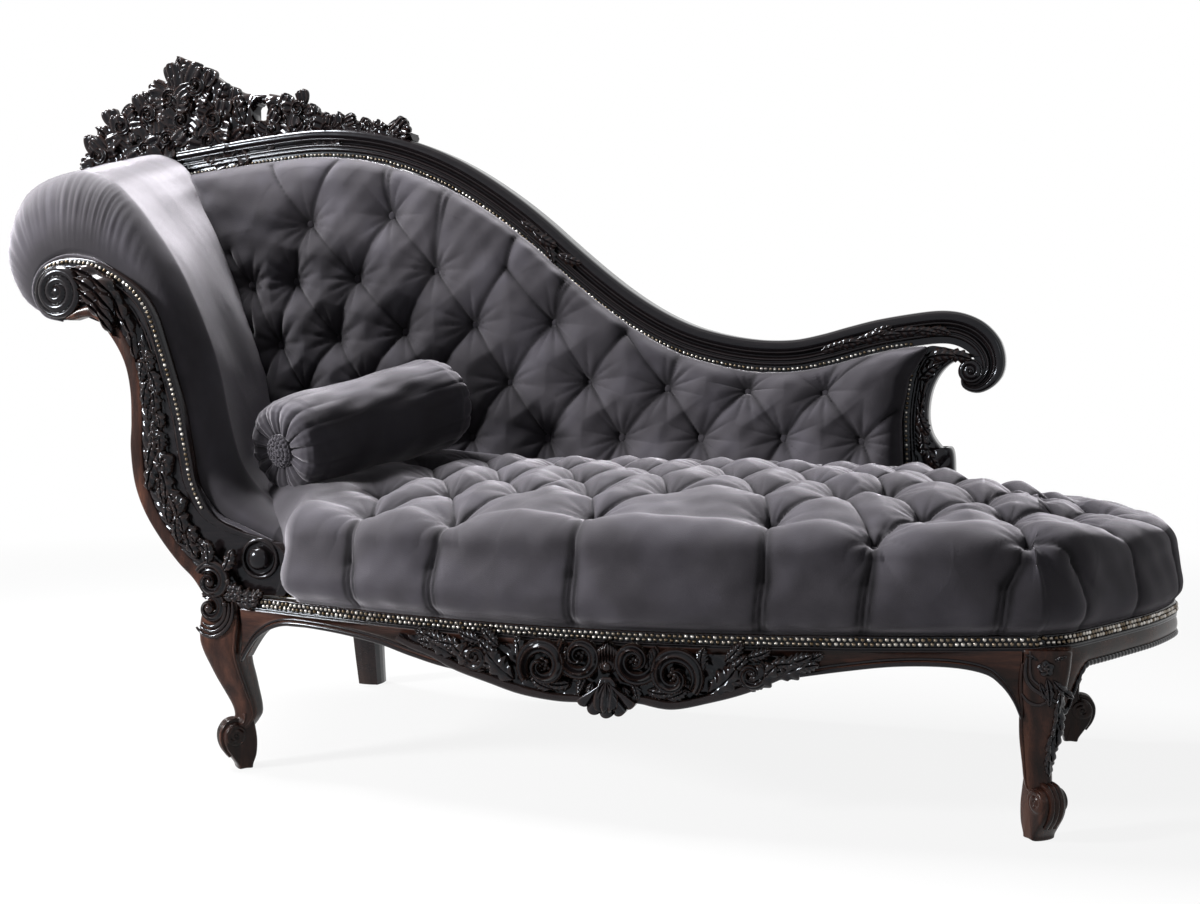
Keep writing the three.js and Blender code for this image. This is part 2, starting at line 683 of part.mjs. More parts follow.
function addCrossBraces() {
  braceXs.forEach((x, i) => {
    const half = braceWidth / 2;
    const front = Math.max(frontEdgeY(x - half), frontEdgeY(x + half)) + innerClear;
    const brace = boxBetween(x - half, x + half, front, backFrameY - clearance, braceFloor, braceTop);
    addPart(`seat_cross_brace_${i + 1}`, brace, beech());
  });
}

function addWebbing() {
  const opening = solidOf(planPlate(insideRails(clearance), braceTop + clearance, webStrapThickness));
  const [low, high] = [braceTop + clearance, braceTop + clearance + webStrapThickness];
  const half = webStrapWidth / 2;
  const [farX, farY] = [couchLength, couchDepth];
  const along = springRows.map((y) => boxBetween(-farX, farX, y - half, y + half, low, high));
  const across = springColumns.map((x) => boxBetween(x - half, x + half, -farY, farY, low, high));
  const straps = solidOf(join(...along, ...across));
  addPart("seat_webbing", geometryOf(straps.intersect(opening)), jute());
}

const springFloor = braceTop + 2 * clearance + webStrapThickness;

// A waisted coil: one unbroken tube whose radius narrows halfway up
function coilSpring(x, y) {
  const steps = springTurns * 8;
  const rise = springHeight - 2 * springWire;
  const centre = (i) => {
    const share = i / steps;
    const turn = share * springTurns * 2 * Math.PI;
    const radius = mix(springEndRadius, springWaistRadius, Math.sin(Math.PI * share));
    const z = springFloor + springWire + rise * share;
    return new THREE.Vector3(x + radius * Math.cos(turn), y + radius * Math.sin(turn), z);
  };
  const axis = new THREE.Vector3(x, y, 0);
  return Array.from({ length: steps + 1 }, (_, i) => {
    const out = centre(i).sub(axis).setZ(0).normalize();
    return Array.from({ length: 5 }, (_, k) => {
      const turn = (2 * Math.PI * k) / 5;
      const place = centre(i).addScaledVector(out, springWire * Math.cos(turn));
      return place.setZ(place.z + springWire * Math.sin(turn));
    });
  });
}

// The least gap between one turn of a coil and the next, measured on its points
function leastTurnGap(rings) {
  const lap = 8;
  const gaps = rings.slice(lap).map((ring, i) => {
    const below = Math.max(...rings[i].map((p) => p.z));
    return Math.min(...ring.map((p) => p.z)) - below;
  });
  return Math.min(...gaps);
}

function addSprings() {
  const gaps = [];
  springRows.forEach((y, row) =>
    springColumns.forEach((x, column) => {
      const rings = coilSpring(x, y);
      gaps.push(leastTurnGap(rings));
      addPart(`seat_spring_${row * springColumns.length + column + 1}`, loft(rings), springSteel());
    }),
  );
  console.log(`least gap between spring turns ${Math.min(...gaps).toFixed(1)} mm`);
}

// Arm surfaces run from the front facing to the rear support
const armShare = (y) => (y - armPadFront) / (armPadBack - armPadFront);
const blendPaths = (front, back, t) => front.map((p, i) => p.clone().lerp(back[i], t));
const padSteps = 20;
const padPath = (shares) => smooth(frontPoints(shares), padSteps);
const armPadOutside = [armPadFrontShares, armPadBackShares].map(padPath);
const armPadInside = [armCoreFrontShares, armCoreBackShares].map(padPath);

// The arm pad's seat side at a depth, from the top of the roll down to its tail
const rollTopIndex = 6;
const armInnerSide = (y) => blendPaths(...armPadOutside, armShare(y)).slice(rollTopIndex);

// Everything on the head side of the arm pad's seat side, grown by the gap beside it
function armEnvelope() {
  const steps = 12;
  const [start, end] = [frontFaceY - couchDepth / 4, armPadBack + railThickness];
  return loft(
    Array.from({ length: steps + 1 }, (_, i) => {
      const y = mix(start, end, i / steps);
      const side = armInnerSide(y).map((p) => point(p.x + 3 * clearance, p.y));
      const tail = side[side.length - 1];
      const farX = -couchLength / 2;
      const outline = [...side, point(tail.x, 0), point(farX, 0), point(farX, side[0].y)];
      return outline.map((p) => new THREE.Vector3(p.x, y, p.y));
    }),
  );
}

function addArmPad() {
  const rings = [];
  const steps = 10;
  for (let i = 0; i <= steps; i++) {
    const share = (i / steps) ** 1.2;
    const outside = blendPaths(...armPadOutside, share);
    const inside = blendPaths(...armPadInside, share);
    const drawnIn = i === 0 ? 0.2 : 0;
    const skin = outside.map((p, k) => p.clone().lerp(inside[k], drawnIn));
    const y = mix(armPadFront, armPadBack, share);
    rings.push([...skin, ...inside.reverse()].map((p) => new THREE.Vector3(p.x, y, p.y)));
  }
  addPart("arm_cushion", loft(rings), velvet());
}

const facingBackY = frontFaceY + facingThickness;
const facingFootFloor = seatFrameHeight + clearance;

function facingOutline() {
  const upper = smooth(frontPoints(facingUpperShares), 24);
  const foot = frontPoints(facingFootShares).map((p) => p.setY(Math.max(p.y, facingFootFloor)));
  const lower = smooth(frontPoints(facingLowerShares), 18);
  return [...upper, ...foot, ...lower];
}

// The bottom rail of the arm, lying along the head seat rail
function armLowerRail(grow) {
  const half = armLowerRailWidth / 2 + grow;
  const low = seatFrameHeight + clearance - grow;
  const high = seatFrameHeight + clearance + armLowerRailHeight + grow;
  return loft(
    [facingBackY + clearance, armPadBack].map((y) => {
      const x = headRailX(y) + railThickness / 2;
      const corners = [[x - half, low], [x + half, low], [x + half, high], [x - half, high]];
      return corners.map(([cornerX, z]) => new THREE.Vector3(cornerX, y, z));
    }),
  );
}

function addArmFrame() {
  const volute = frontPoint(volutePlaceShare);
  const upperEdge = offsetPath(smooth(frontPoints(facingUpperShares).slice(2, 11), 15), nailStripWidth * 2);
  const ridge = taperedBar(
    upperEdge.map((p) => new THREE.Vector3(p.x, frontFaceY + facingBevel / 2, p.y)),
    upperEdge.map((_, i) => mix(scrollTipRadius, scrollStemRadius, 1 - i / upperEdge.length)),
    6,
  );
  const curl = carvedScroll(volute, frontFaceY, bossRadius * 0.55, 1.4, Math.PI * 0.6, -1);
  const facing = frontPlate(facingOutline(), frontFaceY, facingThickness, facingBevel);
  addPart("arm_front_support", join(facing, ridge, curl), ebonised());

  const rear = frontPlate(frontPoints(rearSupportShares), armPadBack + clearance, postDepth);
  addPart("arm_rear_support", rear, beech());

  const [rollFront, rollBack] = [rollFrontPlaceShare, rollBackPlaceShare].map(frontPoint);
  const coreRing = (place, y, [acrossShare, upShare]) =>
    roundPoints(point(0, 0), 1, 14).map((p) => {
      const x = place.x + p.x * acrossShare * couchLength;
      return new THREE.Vector3(x, y, place.y + p.y * upShare * shareHeight);
    });
  const core = loft([
    coreRing(rollFront, facingBackY + clearance, armCoreRadiusShares[0]),
    coreRing(rollBack, armPadBack, armCoreRadiusShares[1]),
  ]);
  addPart("arm_top_rail", core, beech());

  addPart("arm_lower_rail", armLowerRail(0), beech());
}

function addArmCover() {
  const front = smooth(frontPoints(facingLowerShares.slice(0, 9)), 14);
  const back = smooth(frontPoints(armCoverBackShares), 14);
  const rings = Array.from({ length: 6 }, (_, i) => {
    const share = i / 5;
    const outer = blendPaths(front, back, share);
    const inner = offsetPath(outer, coverThickness).reverse();
    const y = mix(facingBackY + clearance, armPadBack, share);
    return [...outer, ...inner].map((p) => new THREE.Vector3(p.x, y, p.y));
  });
  addPart("outside_arm_cover", loft(rings), velvet());
}

// A turned boss on the arm's foot: a ball in a ringed dish, by shares of its radius and depth
const bossProfileShares = [
  [0, 0], [1, 0], [1, 0.4], [0.85, 0.75], [0.72, 0.35], [0.6, 0.35], [0.5, 0.5], [0.35, 0.9], [0, 1],
];

function addArmBoss() {
  const place = frontPoint(bossPlaceShare);
  const outline = bossProfileShares.map(([out, deep]) => point(out * bossRadius, deep * bossDepth));
  const dish = new THREE.LatheGeometry(outline, bossSides);
  const ball = new THREE.SphereGeometry(bossBallRadius, 10, 7).translate(0, bossDepth / 2, 0);
  const ballCap = cut(ball, boxBetween(-bossRadius, bossRadius, -bossRadius, 0, -bossRadius, bossRadius));
  const boss = join(dish, ballCap).rotateX(Math.PI);
  addPart("arm_boss", boss.translate(place.x, frontFaceY - clearance, place.y), ebonised());
}

function addArmLeafCarving() {
  const upper = smooth(frontPoints(facingUpperShares).slice(4, 11), 7);
  const spine = offsetPath(upper, nailStripWidth * 3.6);
  const y = frontFaceY - scrollTipRadius - clearance;
  const stem = taperedBar(
    spine.map((p) => new THREE.Vector3(p.x, y, p.y)),
    spine.map(() => scrollTipRadius),
    6,
  );
  const lobes = spine.slice(1, -1).flatMap((p, i) =>
    [-1, 1].map((side) => {
      const along = Math.atan2(spine[i + 2].y - p.y, spine[i + 2].x - p.x);
      const turn = along + side * 0.7;
      const reach = leafLobeLength * 0.25;
      const place = point(p.x + reach * Math.cos(turn), p.y + reach * Math.sin(turn));
      return carvedLobe(place, y, turn, 0.5);
    }),
  );
  const behind = boxBetween(-couchLength, couchLength, frontFaceY - clearance, couchDepth, 0, couchHeight);
  addPart("arm_leaf_carving", trim(join(stem, ...lobes), behind), ebonised());
}

// Back rail: a moulded rail that sweeps down and rolls over into a volute
const railPath = smooth(frontPoints(backRailPathShares), 26);
const scrollPlace = frontPoint(scrollPlaceShare);

function backRailStations() {
  const last = railPath[railPath.length - 1];
  const startTurn = Math.PI / 2;
  const steps = 14;
  const curl = Array.from({ length: steps }, (_, i) => {
    const share = (i + 1) / steps;
    const turn = startTurn - share * scrollTurns * Math.PI;
    const reach = mix(last.y - scrollPlace.y, scrollRadius * 0.42, share ** 0.8);
    return {
      p: point(scrollPlace.x + reach * Math.cos(turn), scrollPlace.y + reach * Math.sin(turn)),
      width: mix(backRailWidth, scrollEndWidth, share ** 0.9),
    };
  });
  return [...railPath.map((p) => ({ p, width: backRailWidth })), ...curl];
}

// Section of the back rail: a broad round back with two beads, as shares of its width and depth
const backRailSectionShares = [
  [-0.5, 1], [-0.5, 0.1], [-0.29, 0.1], [-0.25, 0.02], [-0.18, 0], [-0.12, 0.08], [-0.03, 0.02],
  [0.12, 0], [0.3, 0.06], [0.44, 0.25], [0.5, 0.5], [0.5, 0.85], [0.4, 1],
];
const railFilletShare = 0.1;

function backRailGeometry() {
  const stations = backRailStations();
  const path = stations.map(({ p }) => p);
  const normals = rightNormals(path);
  return loft(
    stations.map(({ p, width }, i) =>
      backRailSectionShares.map(([across, deep]) => {
        const out = -across * width;
        return new THREE.Vector3(
          p.x + normals[i].x * out,
          backRailFrontY + deep * backRailDepth,
          p.y + normals[i].y * out,
        );
      }),
    ),
  );
}

const backRail = backRailGeometry();
const backRailLower = offsetPath(railPath, backRailWidth / 2);
const backRailCut = moved(backRail, 0, 0, -clearance);

function addBackFrame() {
  addPart("back_top_rail", backRail, ebonised());

  const stile = frontPlate(frontPoints(stileShares), stileFrontY, stileDepth, facingBevel);
  const footLift = boxBetween(0, couchLength, 0, couchDepth, 0, seatFrameHeight + clearance);
  const trimmed = cut(stile, backRailCut, moved(backRail, -clearance, 0, 0), footLift);
  addPart("back_end_stile", largestBody(trimmed), ebonised());

  const postY = backFrameY + (backFrameThickness - postDepth) / 2;
  const lowZ = seatFrameHeight + stuffingRailRise;
  const highZ = lowZ + stuffingRailHeight;
  const lapY = postY + postDepth / 2;
  const stuffingEnds = [backPostXs[0] - postWidth, frontPoint(stileShares[4]).x - clearance];
  const stuffing = boxBetween(...stuffingEnds, postY, postY + postDepth, lowZ, highZ);
  const postLaps = [];
  backPostXs.forEach((x, i) => {
    const [x0, x1] = [x - postWidth / 2, x + postWidth / 2];
    const top = heightAt(railPath, x);
    const post = boxBetween(x0, x1, postY, postY + postDepth, seatFrameHeight + clearance, top);
    const [lapFront, lapBack] = [postY - cutOverrun, postY + postDepth + cutOverrun];
    const [lapLow, lapHigh] = [lowZ - clearance, highZ + clearance];
    const [sideLow, sideHigh] = [x0 - clearance, x1 + clearance];
    const lapSeam = clearance / 2;
    const lap = boxBetween(x0 - cutOverrun, x1 + cutOverrun, lapFront, lapY + lapSeam, lapLow, lapHigh);
    const [railLow, railHigh] = [lowZ - cutOverrun, highZ + cutOverrun];
    postLaps.push(boxBetween(sideLow, sideHigh, lapY - lapSeam, lapBack, railLow, railHigh));
    addPart(`back_post_${i + 1}`, trim(post, backRailCut, lap), beech());
  });
  const supportCut = frontPlate(frontPoints(rearSupportShares), armPadBack, postDepth * 2);
  addPart("back_stuffing_rail", trim(stuffing, ...postLaps, supportCut), beech());
}

function addOutsideBack() {
  const y = backFrameY + backFrameThickness + clearance;
  const lowZ = railFloor + beadHeight;
  const right = frontPoint(stileShares[5]).x;
  const lower = backRailLower.filter((p) => p.x < right);
  const left = frontPoints(rearSupportShares.slice(1, 8));
  const outline = [
    point(left[0].x, lowZ),
    point(right, lowZ),
    ...lower.reverse(),
    ...left.reverse(),
  ];
  const sheet = frontPlate(outline, y, coverThickness);
  const clearCuts = legCuts.slice(2);
  addPart("outside_back_cover", trim(sheet, backRailCut, ...clearCuts), velvet());
}

// Crest carving: places across and up, then size, turns, first turn in half circles, and hand
const crestScrollShares = [
  [-0.192, 0.935, 1, 1.3, 0.5, 1],
  [-0.235, 0.9, 0.82, 1.3, 0, -1],
  [-0.16, 0.9, 0.77, 1.3, 1, 1],
  [-0.272, 0.882, 0.55, 1.2, 0, 1],
  [-0.07, 0.888, 0.64, 1.2, 1, -1],
];
const crestLobeShares = [
  [-0.25, 0.868, 1, 0.2],
  [-0.205, 0.862, 1, -0.2],
  [-0.095, 0.918, 0.8, -0.5],
  [-0.035, 0.88, 0.9, -0.3],
  [0.005, 0.87, 0.8, -0.2],
  [-0.155, 0.862, 1, 0.3],
];

function addCrest() {
  const top = frontPoints(crestTopShares);
  const bottom = frontPoints(crestBottomShares);
  const hole = frontPoint(crestHoleShare);
  const ring = new THREE.Path(roundPoints(hole, crestHoleRadius, 10));
  const plate = frontPlate([...top, ...bottom], crestFrontY, crestThickness, 0, [ring]);
  const scrolls = crestScrollShares.map(([x, z, size, turns, start, hand]) =>
    carvedScroll(frontPoint([x, z]), crestFrontY, size * crestScrollReach, turns, start * Math.PI, hand),
  );
  const lobes = crestLobeShares.map(([x, z, size, turn]) =>
    carvedLobe(frontPoint([x, z]), crestFrontY, turn, size),
  );
  const carved = join(plate, ...scrolls, ...lobes);
  const underside = moved(backRail, 0, 0, clearance);
  const railEnd = moved(backRail, -2 * clearance, 0, 0);
  const support = frontPlate(frontPoints(rearSupportShares), armPadBack, postDepth + crestThickness);
  const rollTop = frontPoint(armPadBackShares[4]).y;
  const armBack = boxBetween(-couchLength, couchLength, 0, armPadBack + clearance, 0, rollTop);
  const seats = [underside, railEnd, moved(support, 0, 0, clearance), armBack];
  addPart("crest_carving", trim(carved, ...seats), ebonised());
}

// Carved apron over the middle of the front rail
function addApron() {
  const bottom = smooth(frontPoints(apronBottomShares), 22);
  const path = bottom.map((p) => point(p.x, frontEdgeY(p.x)));
  const inside = beadDepth + clearance;
  const outside = inside + reliefThickness;
  const topOf = (x) => frontRailTop(x) - nailStripWidth - nailStripThickness - beadHeight;
  const plate = planSweep(path, (p) => {
    const [low, high] = [heightAt(bottom, p.x), topOf(p.x)];
    return [
      [inside, low],
      [outside + scrollTipRadius, low],
      [outside + scrollTipRadius, low + beadHeight],
      [outside, low + beadHeight * 1.3],
      [outside, high],
      [inside, high],
    ];
  });
  const middleX = (path[0].x + path[path.length - 1].x) / 2;
  const reachShares = [0.2, 0.5, 0.8];
  const sizeShares = [0.9, 0.8, 0.67];
  const halfLength = (path[path.length - 1].x - path[0].x) / 2;
  const scrolls = reachShares.flatMap((share, i) =>
    [-1, 1].map((side) => {
      const x = middleX + side * share * halfLength;
      const z = (heightAt(bottom, x) + topOf(x)) / 2;
      const size = ((topOf(x) - heightAt(bottom, x)) / 2) * sizeShares[i];
      return carvedScroll(point(x, z), frontEdgeY(x) - outside, size, 1.3, Math.PI / 2, side);
    }),
  );
  const dropPlace = point(middleX, bottom[11].y + leafLobeLength);
  const drop = carvedLobe(dropPlace, frontEdgeY(middleX) - outside, Math.PI / 2, 1.2);
  const rail = planSweep(frontEdge(headLegFace, footLegFace, 26), (p) =>
    railSection(heightAt(railBottom, p.x), frontRailTop(p.x)),
  );
  const behind = moved(rail, 0, -clearance, 0);
  addPart("apron_carving", trim(join(plate, ...scrolls, drop), behind), ebonised());
}

// Carved leaves over a front leg's knee
function addKneeCarving(name, place, side) {
  const y = place.y - blockHalf - clearance;
  const low = seatFrameHeight - blockDrop;
  const high = seatFrameHeight - nailStripWidth - 2 * nailStripThickness;
  const half = blockHalf * 0.62;
  const outline = [
    point(place.x - half, high),
    point(place.x - half, mix(low, high, 0.45)),
    point(place.x - half * 0.5, mix(low, high, 0.12)),
    point(place.x + side * half * 0.3, low - blockDrop * 0.1),
    point(place.x + half * 0.8, mix(low, high, 0.2)),
    point(place.x + half, mix(low, high, 0.5)),
    point(place.x + half, high),
  ];
  const plate = frontPlate(outline, y - reliefThickness, reliefThickness);
  const middle = point(place.x, mix(low, high, 0.68));
  const curl = carvedScroll(middle, y - reliefThickness, half * 0.8, 1.2, Math.PI / 2, side);
  const leaf = carvedLobe(point(place.x, mix(low, high, 0.2)), y - reliefThickness, Math.PI / 2, 0.8);
  const leg = moved(cabrioleLeg(place, side * diagonal, -diagonal), 0, -clearance, 0);
  addPart(name, trim(join(plate, curl, leaf), leg), ebonised());
}

// Upholstery

// How far a buttoned surface sinks at a place, for a diamond lattice of buttons
function tuftSink(x, z, originX, originZ, row) {
  const down = (z - originZ) / row;
  const along = (x - originX) / tuftPitch;
  let sink = 0;
  for (let j = Math.floor(down); j <= Math.floor(down) + 1; j++) {
    const shift = Math.abs(j % 2) / 2;
    const nearest = Math.round(along - shift) + shift;
    const distance = Math.hypot((along - nearest) * tuftPitch, (down - j) * row);
    sink += tuftDepth * Math.exp(-((distance / tuftRadius) ** 2));
  }
  const slant = [along + down / 2, along - down / 2].map((s) => Math.abs(s - Math.round(s)) * tuftPitch);
  const seam = Math.min(...slant);
  return sink + pleatDepth * Math.exp(-((seam / pleatRadius) ** 2));
}

const seatStationCount = 31;
const footHalf = 15;

function seatFrontPath() {
  const front = frontEdge(seatLeftFrontX - seatLeftTuck, frontFootLegPlace.x, 24);
  return resample([...front, ...footEdge.slice(1, footHalf)], seatStationCount);
}

function seatBackPath() {
  const stileLeft = frontPoint(stileShares[4]).x - postWidth / 2;
  const stileRight = frontPoint(stileShares[5]).x + postWidth / 2;
  return resample(
    [
      point(seatLeftBackX, seatBackY),
      point(stileLeft, seatBackY),
      point(stileRight, seatFootBackY),
      point(backFootLegPlace.x, seatFootBackY),
      ...footEdge.slice(footHalf + 2, -1).reverse(),
    ],
    seatStationCount,
  );
}

const seatFloor = seatFrameHeight + clearance;
const seatTopSamples = 15;

function seatRing(front, back) {
  const across = back.clone().sub(front);
  const out = across.clone().normalize();
  const footShare = THREE.MathUtils.smoothstep(front.x, footLegFace, footLegFace + 0.09 * couchLength);
  const sideTop = seatFloor + seatPadHeight * mix(1, 0.88, footShare);
  const crown = seatCrown * mix(1, 0.6, footShare);
  const backBulge = THREE.MathUtils.smoothstep(back.y, seatBackY, seatFootBackY);
  const side = (p, sign, share) => {
    const bulge = seatBulge * Math.sin(Math.PI * share) * (sign < 0 ? -1 : backBulge);
    const floor = sign < 0 && p.x < footLegFace ? frontRailTop(p.x) + 4 * clearance : seatFloor;
    return new THREE.Vector3(p.x + out.x * bulge, p.y + out.y * bulge, mix(floor, sideTop, share));
  };
  const sideShares = [0, 0.3, 0.6, 0.88];
  const frontSide = sideShares.map((share) => side(front, -1, share));
  const backSide = sideShares.map((share) => side(back, 1, share)).reverse();
  const top = Array.from({ length: seatTopSamples }, (_, i) => {
    const share = (i + 0.5) / seatTopSamples;
    const p = front.clone().addScaledVector(across, share);
    const rise = Math.min(share * 1.1, 1) ** 0.9;
    const fall = Math.min(1, (1 - share) * 12) ** 0.5;
    const sunk = tuftSink(p.x, p.y, couchLength * 0.116, 0, seatTuftRow);
    return new THREE.Vector3(p.x, p.y, sideTop + crown * rise * fall - sunk);
  });
  return [...frontSide, ...top, ...backSide];
}

function addSeatPad() {
  const front = seatFrontPath();
  const back = seatBackPath();
  const pad = loft(front.map((p, i) => seatRing(p, back[i])));
  const stileX = [stileShares[4], stileShares[7]].map((share) => frontPoint(share).x);
  const stileNotch = boxBetween(
    stileX[0] - cutOverrun,
    stileX[1] + cutOverrun,
    stileFrontY - clearance,
    couchDepth,
    0,
    couchHeight,
  );
  const well = planPlate(insideRails(seatBorderWidth - railThickness), 0, deckTop + clearance);
  const [wellLeftX, wellBackY] = [seatLeftFrontX + seatBorderWidth, seatBackY - seatBorderWidth];
  const wellLeft = boxBetween(-couchLength, wellLeftX, 0, couchDepth, 0, couchHeight);
  const wellBack = boxBetween(-couchLength, couchLength, wellBackY, couchDepth, 0, couchHeight);
  const facingY = facingBackY + clearance;
  const facingSide = boxBetween(-couchLength, seatLeftFrontX, -couchDepth, facingY, 0, couchHeight);
  const pillow = moved(bolsterGeometry(), 0, 0, -2 * clearance);
  const hollow = cut(well, wellLeft, wellBack);
  const head = [armEnvelope(), armLowerRail(clearance), facingSide];
  const underRails = boxBetween(-couchLength, couchLength, facingBackY, couchDepth, 0, seatFloor);
  const frame = [stileNotch, underRails, legCuts[0], legCuts[1]];
  addPart("seat_cushion", trim(pad, ...frame, hollow, pillow, ...head), velvet());
}

const deckTop = springFloor + springHeight + clearance + coverThickness;

function addDeckAndDustCover() {
  const deck = planPlate(insideRails(seatBorderWidth), deckTop - coverThickness, coverThickness);
  const leftX = seatLeftFrontX + seatBorderWidth + clearance;
  const backY = seatBackY - seatBorderWidth - clearance;
  const left = boxBetween(-couchLength, leftX, -couchDepth, couchDepth, 0, couchHeight);
  const back = boxBetween(-couchLength, couchLength, backY, couchDepth, 0, couchHeight);
  addPart("spring_deck", cut(deck, left, back), jute());
  const dust = planPlate(insideRails(0), braceFloor - clearance - coverThickness, coverThickness);
  addPart("dust_cover", trim(dust, ...legCuts), liningCloth());
}

function addBackPad() {
  const stileInner = frontPoints(stileShares.slice(0, 5));
  const armSide = armInnerSide(armPadBack).map((p) => point(p.x, p.y));
  const stations = 32;
  const rows = 15;
  const back = armPadBack;
  const topLeft = couchLength * -0.16;
  const topRight = stileInner[0].x - cutOverrun;
  const rings = Array.from({ length: stations + 1 }, (_, i) => {
    const u = i / stations;
    const bottomX = mix(acrossAt(armSide, backPadBottom), stileInner[2].x - 2 * clearance, u);
    const topX = mix(topLeft, topRight, u);
    const topZ = heightAt(backRailLower, topX) - 2 * clearance;
    const column = Array.from({ length: rows + 1 }, (_, k) => {
      const v = k / rows;
      const z = mix(backPadBottom, topZ, v);
      const straight = mix(bottomX, topX, v);
      const straightLeft = mix(acrossAt(armSide, backPadBottom), topLeft, v);
      const straightRight = mix(stileInner[2].x - 2 * clearance, topRight, v);
      const leftShift = (acrossAt(armSide, z) - straightLeft) * (1 - u) ** 3;
      const rightShift = (acrossAt(stileInner, z) - 3 * clearance - straightRight) * u ** 6;
      return point(straight + leftShift + rightShift, z);
    });
    const face = column.map((p, k) => {
      const v = k / rows;
      const lean = mix(backPadDeep, backPadShallow, v);
      const drawnIn = Math.min(1, (1 - v) * 7, u * 22, (1 - u) * 18, 0.6 + v * 6) ** 0.5;
      const sunk = tuftSink(p.x, p.y, couchLength * 0.176, couchHeight * 0.41, backTuftRow) * drawnIn ** 2;
      const thick = Math.max(backPadEdge, backPadEdge + (lean - backPadEdge + tuftDepth) * drawnIn - sunk);
      return new THREE.Vector3(p.x, back - thick, p.y);
    });
    const rear = [column[rows], column[0]].map((p) => new THREE.Vector3(p.x, back, p.y));
    return [...face, ...rear];
  });
  const stile = frontPlate(frontPoints(stileShares), stileFrontY, stileDepth);
  const frameCuts = [
    backRailCut,
    moved(backRail, 0, -backRailDepth / 2, -clearance),
    moved(stile, -clearance, -clearance, 0),
    moved(stile, -clearance, -stileDepth / 2, 0),
  ];
  const armCuts = [armEnvelope(), armLowerRail(clearance)];
  addPart("back_cushion", trim(loft(rings), ...frameCuts, ...armCuts), velvet());
}

// Strips that carry the nail heads
function nailStrip(path, topAt) {
  return planSweep(path, (p) => {
    const top = topAt(p.x) - nailStripThickness / 2;
    const [near, far] = [clearance, clearance + nailStripThickness];
    return [[near, top - nailStripWidth], [far, top - nailStripWidth], [far, top], [near, top]];
  });
}

function addNailStrips() {
  const kneeStart = frontPoint(facingFootShares[1]).x + clearance;
  const front = nailStrip(frontEdge(kneeStart, footLegFace - clearance, 24), frontRailTop);
  addPart("seat_nail_strip_front", trim(front, legCuts[1]), nailMetal());
  const foot = nailStrip(footEdge.slice(0, -2), () => seatFrameHeight);
  addPart("seat_nail_strip_foot", trim(foot, legCuts[1], legCuts[3]), nailMetal());

  // A strip between two front-view edges, lying on a face at y
  const wallStrip = (edge, inner, y) =>
    frontPlate([...edge, ...inner.reverse()], y - clearance - nailStripThickness, nailStripThickness);
  const boss = frontPoint(bossPlaceShare);
  const bossRing = roundPoints(boss, bossRadius + 2 * clearance, bossSides);
  const bossCut = frontPlate(bossRing, frontFaceY - facingThickness, facingThickness);
  const armEdge = offsetPath(smooth(frontPoints(facingUpperShares).slice(1), 24), facingBevel);
  const armStrip = wallStrip(armEdge, offsetPath(armEdge, nailStripWidth), frontFaceY);
  addPart("arm_nail_strip", trim(armStrip, bossCut), nailMetal());

  const stripPath = railPath.filter((p) => p.x < frontPoint(stileShares[0]).x);
  const railEdge = offsetPath(stripPath, backRailWidth / 2 - clearance);
  const railInner = offsetPath(stripPath, backRailWidth / 2 - clearance - nailStripWidth * 0.9);
  const filletY = backRailFrontY + railFilletShare * backRailDepth;
  addPart("back_nail_strip", wallStrip(railEdge, railInner, filletY), nailMetal());

  const stileEdge = offsetPath(smooth(frontPoints(stileShares.slice(0, 4)), 8), -facingBevel);
  const stileStrip = wallStrip(stileEdge, offsetPath(stileEdge, -nailStripWidth), stileFrontY);
  addPart("stile_nail_strip", trim(stileStrip, backRailCut), nailMetal());
}

// Bolster: a round pillow with gathered ends, lying on the seat against the arm
const bolsterAxis = bolsterBack.clone().sub(bolsterFront);
const bolsterLength = bolsterAxis.length();

function placeOnBolster(geometry) {
  const along = bolsterAxis.clone().normalize();
  const turn = new THREE.Quaternion().setFromUnitVectors(new THREE.Vector3(0, 1, 0), along);
  const middle = bolsterFront.clone().add(bolsterBack).divideScalar(2);
  return geometry.applyQuaternion(turn).translate(middle.x, middle.y, middle.z);
}

function bolsterGeometry() {
  const half = [
    [0, bolsterLength / 2 + bolsterDome],
    [bolsterRadius * 0.3, bolsterLength / 2 + bolsterDome],
    [bolsterRadius * 0.62, bolsterLength / 2 + bolsterDome * 0.8],
    [bolsterRadius * 0.9, bolsterLength / 2],
    [bolsterRadius * 0.985, bolsterLength / 2 - bolsterEdge * 0.6],
    [bolsterRadius, bolsterLength / 2 - bolsterEdge * 1.6],
  ];
  const profile = [...half, ...half.map(([r, h]) => [r, -h]).reverse()].map(([r, h]) => point(r, h));
  return placeOnBolster(new THREE.LatheGeometry(profile.reverse(), 24));
}

function addBolster() {
  addPart("bolster_pillow", bolsterGeometry(), velvet());
  ["bolster_front_rosette", "bolster_back_rosette"].forEach((name, i) => {
    const side = i === 0 ? -1 : 1;
    const start = bolsterLength / 2 + bolsterDome + clearance;
    const rim = [rosetteRadius * 0.8, start + rosetteDepth * 0.7];
    const dome = [[0, start], [rosetteRadius, start], rim, [0, start + rosetteDepth]];
    const outline = dome.map(([r, h]) => point(r, side * h));
    const rosette = new THREE.LatheGeometry(side > 0 ? outline : outline.reverse(), 14);
    addPart(name, placeOnBolster(rosette), velvet());
  });
}

addLegs();
addSeatRails();
addCornerBlocks();
addCrossBraces();
addWebbing();
addSprings();
addArmFrame();
addArmPad();
addArmCover();
addArmBoss();
addArmLeafCarving();
addBackFrame();
addOutsideBack();
addCrest();
addApron();
addKneeCarving("head_knee_carving", frontHeadLegPlace, -1);
addKneeCarving("foot_knee_carving", frontFootLegPlace, 1);
addSeatPad();
addDeckAndDustCover();
addBackPad();
addNailStrips();
addBolster();

